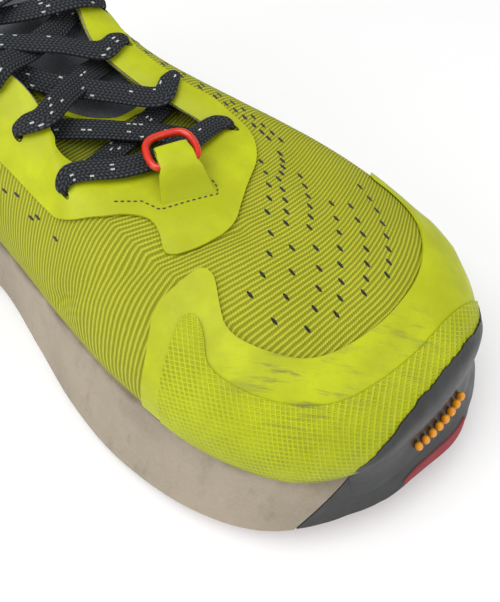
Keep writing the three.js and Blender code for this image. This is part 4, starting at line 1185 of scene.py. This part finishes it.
def make_perforations():
    a, t = [], []
    for corners, count in PERFORATION_ROWS:
        knots = np.linspace(0, 1, len(corners))
        shares = np.linspace(0, 1, count)
        a += np.interp(shares, knots, [corner[0] for corner in corners]).tolist()
        t += np.interp(shares, knots, [corner[1] for corner in corners]).tolist()
    a, t = np.array(a), np.array(t)
    normals = upper_normal(a, t)
    places = skin(a, t, 0.02)
    piece = scatter("perforations", places, normals, rib_crossing(places, normals),
                    (2.7, 1.0, 0.25), hole_dark)
    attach(piece, "shoe")


def stitched_path(name, corners, lift, pitch, size, material):
    """Stitches along a path of (a, t) corners."""
    corners = np.array(corners, float) * np.array([AROUND, CLIMB])
    steps = np.linalg.norm(np.diff(corners, axis=0), axis=1)
    walked = np.concatenate([[0], np.cumsum(steps)])
    places = np.arange(pitch / 2, walked[-1], pitch)
    a = np.interp(places, walked, corners[:, 0]) / AROUND
    t = np.interp(places, walked, corners[:, 1]) / CLIMB
    normals = upper_normal(a, t)
    points = skin(a, t, lift)
    along = unit(np.gradient(points, axis=0))
    piece = scatter(name, points, normals, along, size, material)
    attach(piece, "shoe")


make_midsole()
make_bumper()
make_toe_lip()
make_badge()
make_red_lip()
make_shell()
make_overlays()
make_perforations()
stitched_path("guard_specks", [(0.615, 0.36), (0.592, 0.35), (0.565, 0.345), (0.54, 0.345), (0.51, 0.35)],
              SKIN_GAP + FILM + 0.45, 1.9, (0.9, 0.7, 0.3), hole_dark)


# ---- laces ----

LACE_WIDTH = 7.0
LACE_THICKNESS = 1.6
LACE_ABOVE = SKIN_GAP + EYESTAY + 0.84 + LACE_THICKNESS / 2
LACE_BELOW = -SHELL - 1.38 - LACE_THICKNESS / 2
CROSSING = LACE_THICKNESS / 2 + 0.3
BAR_RISE = 0.2
BAR_BOWS = (4.4, 5.5, 4.4)  # how far the tab pulls the first bar forward, across its middle
RING_AXIS = np.array([0.45, 0.893, 0.0])
RING_FORWARD = np.array([0.893, -0.45, 0.0])
TUCK = [
    (0.004, 0.98, LACE_ABOVE + 0.3), (0.006, 1.07, 2.4), (0.006, 1.08, -2.4),
    (0.006, 0.99, LACE_BELOW - 0.4), (0.006, 0.9, LACE_BELOW), (0.006, 0.78, LACE_BELOW - 0.1),
    (0.006, 0.66, LACE_BELOW - 1.2),
]


def heelward(a):
    along = unit(loop_points(edge_keys, a + 1e-3) - loop_points(edge_keys, a - 1e-3))
    return -along if along[0] > 0 else along


def lace_stop(edge, share, lift, squeeze):
    a, t = in_from_edge(edge, EYELET_INSET * (1 - share))
    return (upper_point(a, t) + upper_normal(a, t) * lift, heelward(edge), squeeze)


def edge_stop(edge, lift):
    return lace_stop(edge, 0.96, lift, 0.0)


def beside_stop(edge, lift):
    return lace_stop(edge, 0.42, lift, 0.25)


def through_stops(edge):
    return [lace_stop(edge, 0, lift, 1.0)
            for lift in (LACE_BELOW * 0.9, -SHELL / 2, LACE_ABOVE * 0.75)]


def cross_stops(start, end, lift):
    return [
        (start[0] + (end[0] - start[0]) * u + UP * lift,
         start[1] + (end[1] - start[1]) * u, 0.0)
        for u in (0.3, 0.5, 0.7)
    ]


def lace_strand(start, end, lift_at_start, lift):
    leave = [beside_stop(start, lift_at_start), edge_stop(start, lift_at_start)]
    arrive = [edge_stop(end, LACE_BELOW), beside_stop(end, LACE_BELOW)]
    return leave + cross_stops(leave[1], arrive[0], lift) + arrive + through_stops(end)


def tucked_end(edge):
    turn = -1 if edge < 0.5 else 1
    return [
        (upper_point(edge + share * turn, t) + upper_normal(edge + share * turn, min(t, 1)) * lift,
         heelward(edge), 0.2)
        for share, t, lift in TUCK
    ]


def lace_half(own, other, side):
    stops = through_stops(own[0])[::-1]
    rows = [own, other]
    for k in range(len(own) - 1):
        at_start = LACE_BELOW if k == 0 else LACE_ABOVE
        stops += lace_strand(rows[0][k], rows[1][k + 1], at_start, side * CROSSING)
        rows.reverse()
    last = rows[0][-1]
    return stops + [beside_stop(last, LACE_ABOVE)] + tucked_end(last)


def lace_stops():
    start = beside_stop(outer_eyelets[0], LACE_ABOVE)
    end = beside_stop(inner_eyelets[0], LACE_ABOVE)
    middle = [
        (at + RING_FORWARD * bow, across, squeeze)
        for (at, across, squeeze), bow in zip(cross_stops(start, end, BAR_RISE), BAR_BOWS)
    ]
    outer_half = lace_half(outer_eyelets, inner_eyelets, -1)[::-1]
    inner_half = lace_half(inner_eyelets, outer_eyelets, 1)
    return outer_half + [start] + middle + [end] + inner_half


BRAID_SIDES = 16


def make_laces():
    stops = lace_stops()
    count = (len(stops) - 1) * 11
    shares = np.arange(count + 1) / count
    centres = open_curve([s[0] for s in stops], shares)
    tangents = unit(np.gradient(centres, axis=0))
    index = shares * (len(stops) - 1)
    knots = np.arange(len(stops))
    across = np.stack([np.interp(index, knots, [s[1][k] for s in stops]) for k in range(3)], axis=1)
    across = unit(across - tangents * (across * tangents).sum(axis=1, keepdims=True))
    outward = np.cross(across, tangents)
    squeeze = np.interp(index, knots, [s[2] for s in stops])[:, None]
    half = LACE_WIDTH / 2 + (1.6 - LACE_WIDTH / 2) * squeeze
    thick = LACE_THICKNESS / 2 + (1.0 - LACE_THICKNESS / 2) * squeeze
    walked = np.concatenate([[0], np.cumsum(np.linalg.norm(np.diff(centres, axis=0), axis=1))])
    points, lay = [], []
    for m in range(BRAID_SIDES):
        g = math.tau * m / BRAID_SIDES
        x = math.copysign(abs(math.cos(g)) ** 0.75, math.cos(g))
        y = math.copysign(abs(math.sin(g)) ** 0.55, math.sin(g)) * (1 - 0.25 * abs(x) ** 2)
        points.append(centres + across * half * x + outward * thick * y)
        lay.append(np.stack([walked, x * half[:, 0], np.full(count + 1, y)], axis=1))
    points = np.stack(points, axis=1)
    lay = np.stack(lay, axis=1)
    rings = count + 1
    faces = []
    for m in range(BRAID_SIDES):
        following = (m + 1) % BRAID_SIDES
        i = np.arange(rings - 1) * BRAID_SIDES
        quads = np.stack([i + m, i + following, i + BRAID_SIDES + following, i + BRAID_SIDES + m], axis=1)
        faces += quads.tolist()
    faces += [list(range(BRAID_SIDES)), list(range((rings - 1) * BRAID_SIDES, rings * BRAID_SIDES))]
    piece = make_object("laces_braid", points.reshape(-1, 3), faces, lay.reshape(-1, 3))
    return finish_piece(piece, "lace", "shoe", braid, "laces")


make_laces()


# ---- tongue ----

TONGUE_DROP = SHELL + 4.5
TONGUE_ROWS = [
    (1.8, [(0.64, 0.8), (0.6, 0.83), (0.44, 0.88), (0.4, 0.85)]),
    (1.8, [(0.68, 0.84), (0.65, 0.95), (0.42, 0.95), (0.375, 0.86)]),
    (1.8, [(0.72, 0.8), (0.705, 1), (0.375, 1), (0.335, 0.84)]),
    (2.0, [(0.757, 0.78), (0.75, 1), (0.31, 1), (0.3, 0.84)]),
    (2.5, [(0.785, 0.78), (0.78, 0.98), (0.268, 0.98), (0.265, 0.82)]),
    (3.0, [(0.81, 0.78), (0.805, 0.95), (0.235, 0.95), (0.235, 0.8)]),
    (3.0, [(0.838, 0.78), (0.832, 0.92), (0.2, 0.92), (0.195, 0.78)]),
    (3.0, [(0.868, 0.78), (0.862, 0.91), (0.175, 0.91), (0.17, 0.78)]),
]
TONGUE_TOP_ROWS = [(14, 10, 0.9), (27, 27, 0.78)]
TONGUE_THICKNESS = 4.0


def tongue_rows():
    rows = []
    for sag, places in TONGUE_ROWS:
        a, t = np.array(places, float).T
        points = upper_point(a, t) - upper_normal(a, t) * TONGUE_DROP
        middle = (points[1] + points[2]) / 2 - UP * sag
        rows.append(np.insert(points, 2, middle, axis=0))
    last = rows[-1]
    for back, climb, narrowing in TONGUE_TOP_ROWS:
        spread = (last - last[2]) * np.array([0.5, narrowing, 0.6])
        rows.append(spread + last[2] + np.array([-back, 0.0, climb]))
    return rows


def tongue_grid(rows, columns):
    v = np.linspace(0, 1, columns)
    across = np.stack([open_curve(row, v) for row in tongue_rows()])
    u = np.linspace(0, 1, rows)
    return np.stack([open_curve(across[:, k], u) for k in range(columns)], axis=1)


def make_tongue():
    rows, columns = 90, 44
    surface = tongue_grid(rows, columns)
    side = np.gradient(surface, axis=1)
    along = np.gradient(surface, axis=0)
    normals = unit(np.cross(side, along))
    normals = np.where(normals[..., 2:3] < 0, -normals, normals)
    v = np.linspace(0, 1, columns)[None, :]
    u = np.linspace(0, 1, rows)[:, None]
    edge = np.minimum(1, 6 * np.minimum(v, 1 - v)) * np.minimum(1, 14 * (1 - u))
    thickness = TONGUE_THICKNESS * (0.25 + 0.75 * np.sqrt(edge))
    quilting = 0.35 * np.abs(np.sin(u * 26)) * edge
    outer = surface - normals * (0.5 - quilting)[..., None]
    inner = surface - normals * thickness[..., None]
    lay = np.stack([surface[..., 0], surface[..., 1], 0 * surface[..., 0]], axis=-1)
    piece = slab_object("tongue_cloth", outer, inner, False, lay)
    finish_piece(piece, "tongue_fabric", "tongue", tongue_mesh_shaded, "tongue")
    tongue_strip("tongue_strip", 30, 88, 11.0, 0.5, patch)
    tongue_strip("tongue_piping", 28.6, 89, 12.6, 0.32, film)


def tongue_strip(name, first, last, width, lift, material):
    """A film strip down the tongue's middle, rounded at its lower end."""
    u = np.linspace(first, last, 80)
    v = np.linspace(-1, 1, 24)
    ending = np.sqrt(np.clip(1 - (1 - (u - first) / 6) ** 2, 0, 1)) * (u < first + 6) + (u >= first + 6)
    rows = np.stack([open_curve(row, np.linspace(0, 1, 91)) for row in tongue_rows()])
    surface = np.stack([open_curve(rows[:, k], u / 90) for k in range(91)], axis=1)
    arc = np.linalg.norm(np.gradient(surface, axis=1), axis=2).mean(axis=1)
    columns = 49 + v[None] * np.maximum(ending, 0.03)[:, None] * (width / arc)[:, None]
    low = np.clip(np.floor(columns).astype(int), 0, 89)
    w = (columns - low)[..., None]
    line = np.arange(len(u))[:, None]
    points = surface[line, low] * (1 - w) + surface[line, low + 1] * w
    normals = unit(np.cross(np.gradient(points, axis=1), np.gradient(points, axis=0)))
    normals = np.where(normals[..., 2:3] < 0, -normals, normals)
    piece = slab_object(name, points + normals * lift, points - normals * 0.2)
    finish_piece(piece, "lining", "tongue", material)


# ---- ring and its tab ----

RING_TILT = math.radians(10)
RING_WIRE = 2.2
RING_HALF_WIDTH = 6.9
RING_REACH = 10.8
ring_hinge = next(joint for joint in frame["joints"] if joint["name"] == "ring_hinge")
ring_bar = np.array(ring_hinge["pos_m"]) / MM - OFFSET


def make_ring():
    """A round wire bent to a D, with its straight bar on the hinge."""
    w, h, corner = RING_HALF_WIDTH, RING_REACH, 3.0
    outline = [(-w + corner, 0), (0, 0), (w - corner, 0), (w - 0.8, 0.8), (w, corner),
               (w, h * 0.55), (w * 0.9, h * 0.8), (w * 0.6, h * 0.96), (0, h), (-w * 0.6, h * 0.96),
               (-w * 0.9, h * 0.8), (-w, h * 0.55), (-w, corner), (-w + 0.8, 0.8)]
    leaning = -RING_FORWARD * math.cos(RING_TILT) + UP * math.sin(RING_TILT)
    rings, sides = 160, 16
    path = loop_points(np.array([(x, y, 0) for x, y in outline], float), np.arange(rings) / rings)
    tangent = unit(np.roll(path, -1, axis=0) - np.roll(path, 1, axis=0))
    out = np.stack([tangent[:, 1], -tangent[:, 0], 0 * tangent[:, 0]], axis=1)
    angles = np.arange(sides) * math.tau / sides
    flat = path[:, None] + (RING_WIRE / 2) * (
        out[:, None] * np.cos(angles)[None, :, None] + UP * np.sin(angles)[None, :, None]
    )
    normal = np.cross(RING_AXIS, leaning)
    points = ring_bar + flat[..., 0:1] * RING_AXIS + flat[..., 1:2] * leaning + flat[..., 2:3] * normal
    i, j = np.meshgrid(np.arange(rings), np.arange(sides), indexing="ij")
    after, beside = (i + 1) % rings, (j + 1) % sides
    quads = np.stack([i * sides + j, i * sides + beside, after * sides + beside, after * sides + j], -1)
    piece = make_object("ring_wire", points.reshape(-1, 3), quads.reshape(-1, 4).tolist())
    finish_piece(piece, "ring", "ring", red_plastic, "gaiter_ring")


def film_height(places):
    """Height of the eyestay's film under plan places near the front of the throat."""
    a, t = np.meshgrid(np.linspace(0.42, 0.66, 121), np.linspace(0.6, 1, 121), indexing="ij")
    ground = upper_point(a, t).reshape(-1, 3)
    gaps = np.linalg.norm(places[:, None, :2] - ground[None, :, :2], axis=2)
    return ground[gaps.argmin(axis=1), 2] + SKIN_GAP + EYESTAY


def make_tab():
    """A folded strip of film: from the eyestay up over the lace, round the fold and back."""
    profile = np.array([
        (7.2, -8.2, 0), (6.0, -6.7, 0), (4.8, -4.9, 0), (3.2, -1.9, 0), (1.4, 0.8, 0), (-1.2, 2.3, 0),
        (-3.8, 2.6, 0), (-5.3, 2.3, 0), (-6.0, 1.3, 0), (-5.4, 0.2, 0), (-3.6, -0.6, 0),
        (0, -1.9, 0), (2.0, -3.6, 0), (3.6, -6.6, 0),
    ])
    steps = 90
    line = open_curve(profile, np.arange(steps) / (steps - 1))
    tangent = unit(np.gradient(line, axis=0))
    out = np.stack([tangent[:, 1], -tangent[:, 0], 0 * tangent[:, 0]], axis=1)
    v = np.linspace(-1, 1, 26)
    half = 4.7 + 0.1 * np.maximum(line[:, 0] + 4, 0) ** 1.5
    half = np.minimum(half, 5.2 + np.maximum(line[:, 0] - 1.2, 0) * 0.9)
    grids = []
    for lift in (0.4, -0.4):
        flat = line + out * lift * -1
        base = ring_bar + flat[:, None, 0:1] * RING_FORWARD + flat[:, None, 1:2] * UP
        grid = base + (v[None, :] * half[:, None])[..., None] * RING_AXIS
        rounding = (np.abs(v) ** 6 * 0.25)[None, :, None] * UP
        grids.append(grid - rounding)
    lay = np.stack([grids[0][..., 0], grids[0][..., 1], grids[0][..., 2]], axis=-1)
    piece = slab_object("lace_tab", grids[0], grids[1], False, lay)
    finish_piece(piece, "film", "shoe", film, "gaiter_tab")


# Stitches round the tab's foot, forward of the ring's bar and along it.
TAB_STITCHES = [(1.0, -20.0), (3.6, -12.5), (7.9, -8.8), (7.9, 8.6), (4.6, 9.2), (1.6, 8.6)]


def make_tab_stitches():
    corners = np.array(TAB_STITCHES, float)
    steps = np.linalg.norm(np.diff(corners, axis=0), axis=1)
    walked = np.concatenate([[0], np.cumsum(steps)])
    places = np.arange(0.8, walked[-1], 1.75)
    forward = np.interp(places, walked, corners[:, 0])
    side = np.interp(places, walked, corners[:, 1])
    points = ring_bar + forward[:, None] * RING_FORWARD + side[:, None] * RING_AXIS
    points[:, 2] = film_height(points) + 0.1
    facing = np.tile(UP, (len(points), 1))
    along = unit(np.gradient(points, axis=0))
    piece = scatter("tab_stitches", points, facing, along, (1.15, 0.5, 0.45), thread)
    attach(piece, "shoe")


def make_throat_binding():
    """The pale cut edge of the upper round the throat."""
    a = np.linspace(0.19, 0.862, 420)
    centre = skin(a, np.full_like(a, 0.998), 0.05)
    tangent = unit(np.gradient(centre, axis=0))
    out = upper_normal(a, np.full_like(a, 0.998))
    side = np.cross(tangent, out)
    angles = np.arange(8) * math.tau / 8
    ring = centre[:, None] + 0.42 * (out[:, None] * np.cos(angles)[None, :, None]
                                     + side[:, None] * np.sin(angles)[None, :, None])
    faces = grid_faces(8, 420, 0, True)
    faces += [[k * 420 for k in range(8)], [k * 420 + 419 for k in range(8)]]
    piece = make_object("throat_binding", ring.transpose(1, 0, 2).reshape(-1, 3), faces)
    finish_piece(piece, "mesh", "shoe", binding)


def collar_pad_grid(rows, columns):
    a = np.linspace(0.9, 1.13, rows)[:, None] + np.zeros(columns)
    v = np.linspace(0, 1, columns)[None, :] + np.zeros((rows, 1))
    u = (a - 0.9) / 0.23
    ends = np.minimum(1, np.minimum(u, 1 - u) * 9)
    profile = 0.2 + 0.8 * np.sin(math.pi * np.minimum(1, v * 0.92 + 0.04)) ** 0.8
    depth = 8 * profile * (0.35 + 0.65 * ends)
    t = 0.46 + 0.52 * v
    base = -SHELL - SKIN_GAP
    outer = upper_point(a, t) + upper_normal(a, t) * base
    inner = upper_point(a, t) + upper_normal(a, t) * (base - depth)[..., None]
    return outer, inner


def make_collar_pad():
    outer, inner = collar_pad_grid(120, 30)
    piece = slab_object("collar_cushion", outer, inner)
    finish_piece(piece, "lining", "shoe", lining, "collar_pad")


def make_lining():
    """The dark cloth that faces the inside of the upper."""
    a, t = np.meshgrid(np.arange(200) / 200, np.linspace(0.03, 0.985, 40), indexing="ij")
    outer = skin(a, t, -SHELL - 0.05)
    inner = skin(a, t, -SHELL - 0.35)
    piece = slab_object("inner_lining", outer, inner, True)
    finish_piece(piece, "lining", "shoe", lining)


def make_insole():
    a = np.arange(160) / 160
    rings = []
    for inset, height in ((5.0, 1.4), (5.0, 4.2), (5.6, 5.0), (7.0, 5.3)):
        ring = offset_line(feather_keys, a, -inset)
        ring[:, 2] = loop_points(feather_keys, a)[:, 2] + height
        rings.append(ring)
    count = len(a)
    faces = []
    for k in range(len(rings) - 1):
        i = np.arange(count)
        j = (i + 1) % count
        faces += (np.stack([i, j, j + count, i + count], axis=1) + k * count).tolist()
    for start in (0, (len(rings) - 1) * count):
        for i in range(count // 2):
            quad = [start + v for v in (i, i + 1, (count - i - 1) % count, (count - i) % count)]
            faces.append(list(dict.fromkeys(quad)))
    piece = make_object("insole_cushion", np.concatenate(rings), faces)
    finish_piece(piece, "insole_fabric", "shoe", lining, "insole")


make_tongue()
make_ring()
make_tab()
make_tab_stitches()
make_throat_binding()
make_collar_pad()
make_lining()
make_insole()

# ---- CAD pieces that keep their shape ----

for node, material in (
    ("outsole_heel", red_rubber), ("outsole_forefoot", red_rubber), ("strobel_board", board),
    ("heel_counter", board), ("toe_puff", board), ("aglet_outer", black_plastic),
    ("aglet_inner", black_plastic), ("heel_loop", webbing),
):
    mesh = frame["nodes"][node].data
    mesh.materials.clear()
    mesh.materials.append(material)
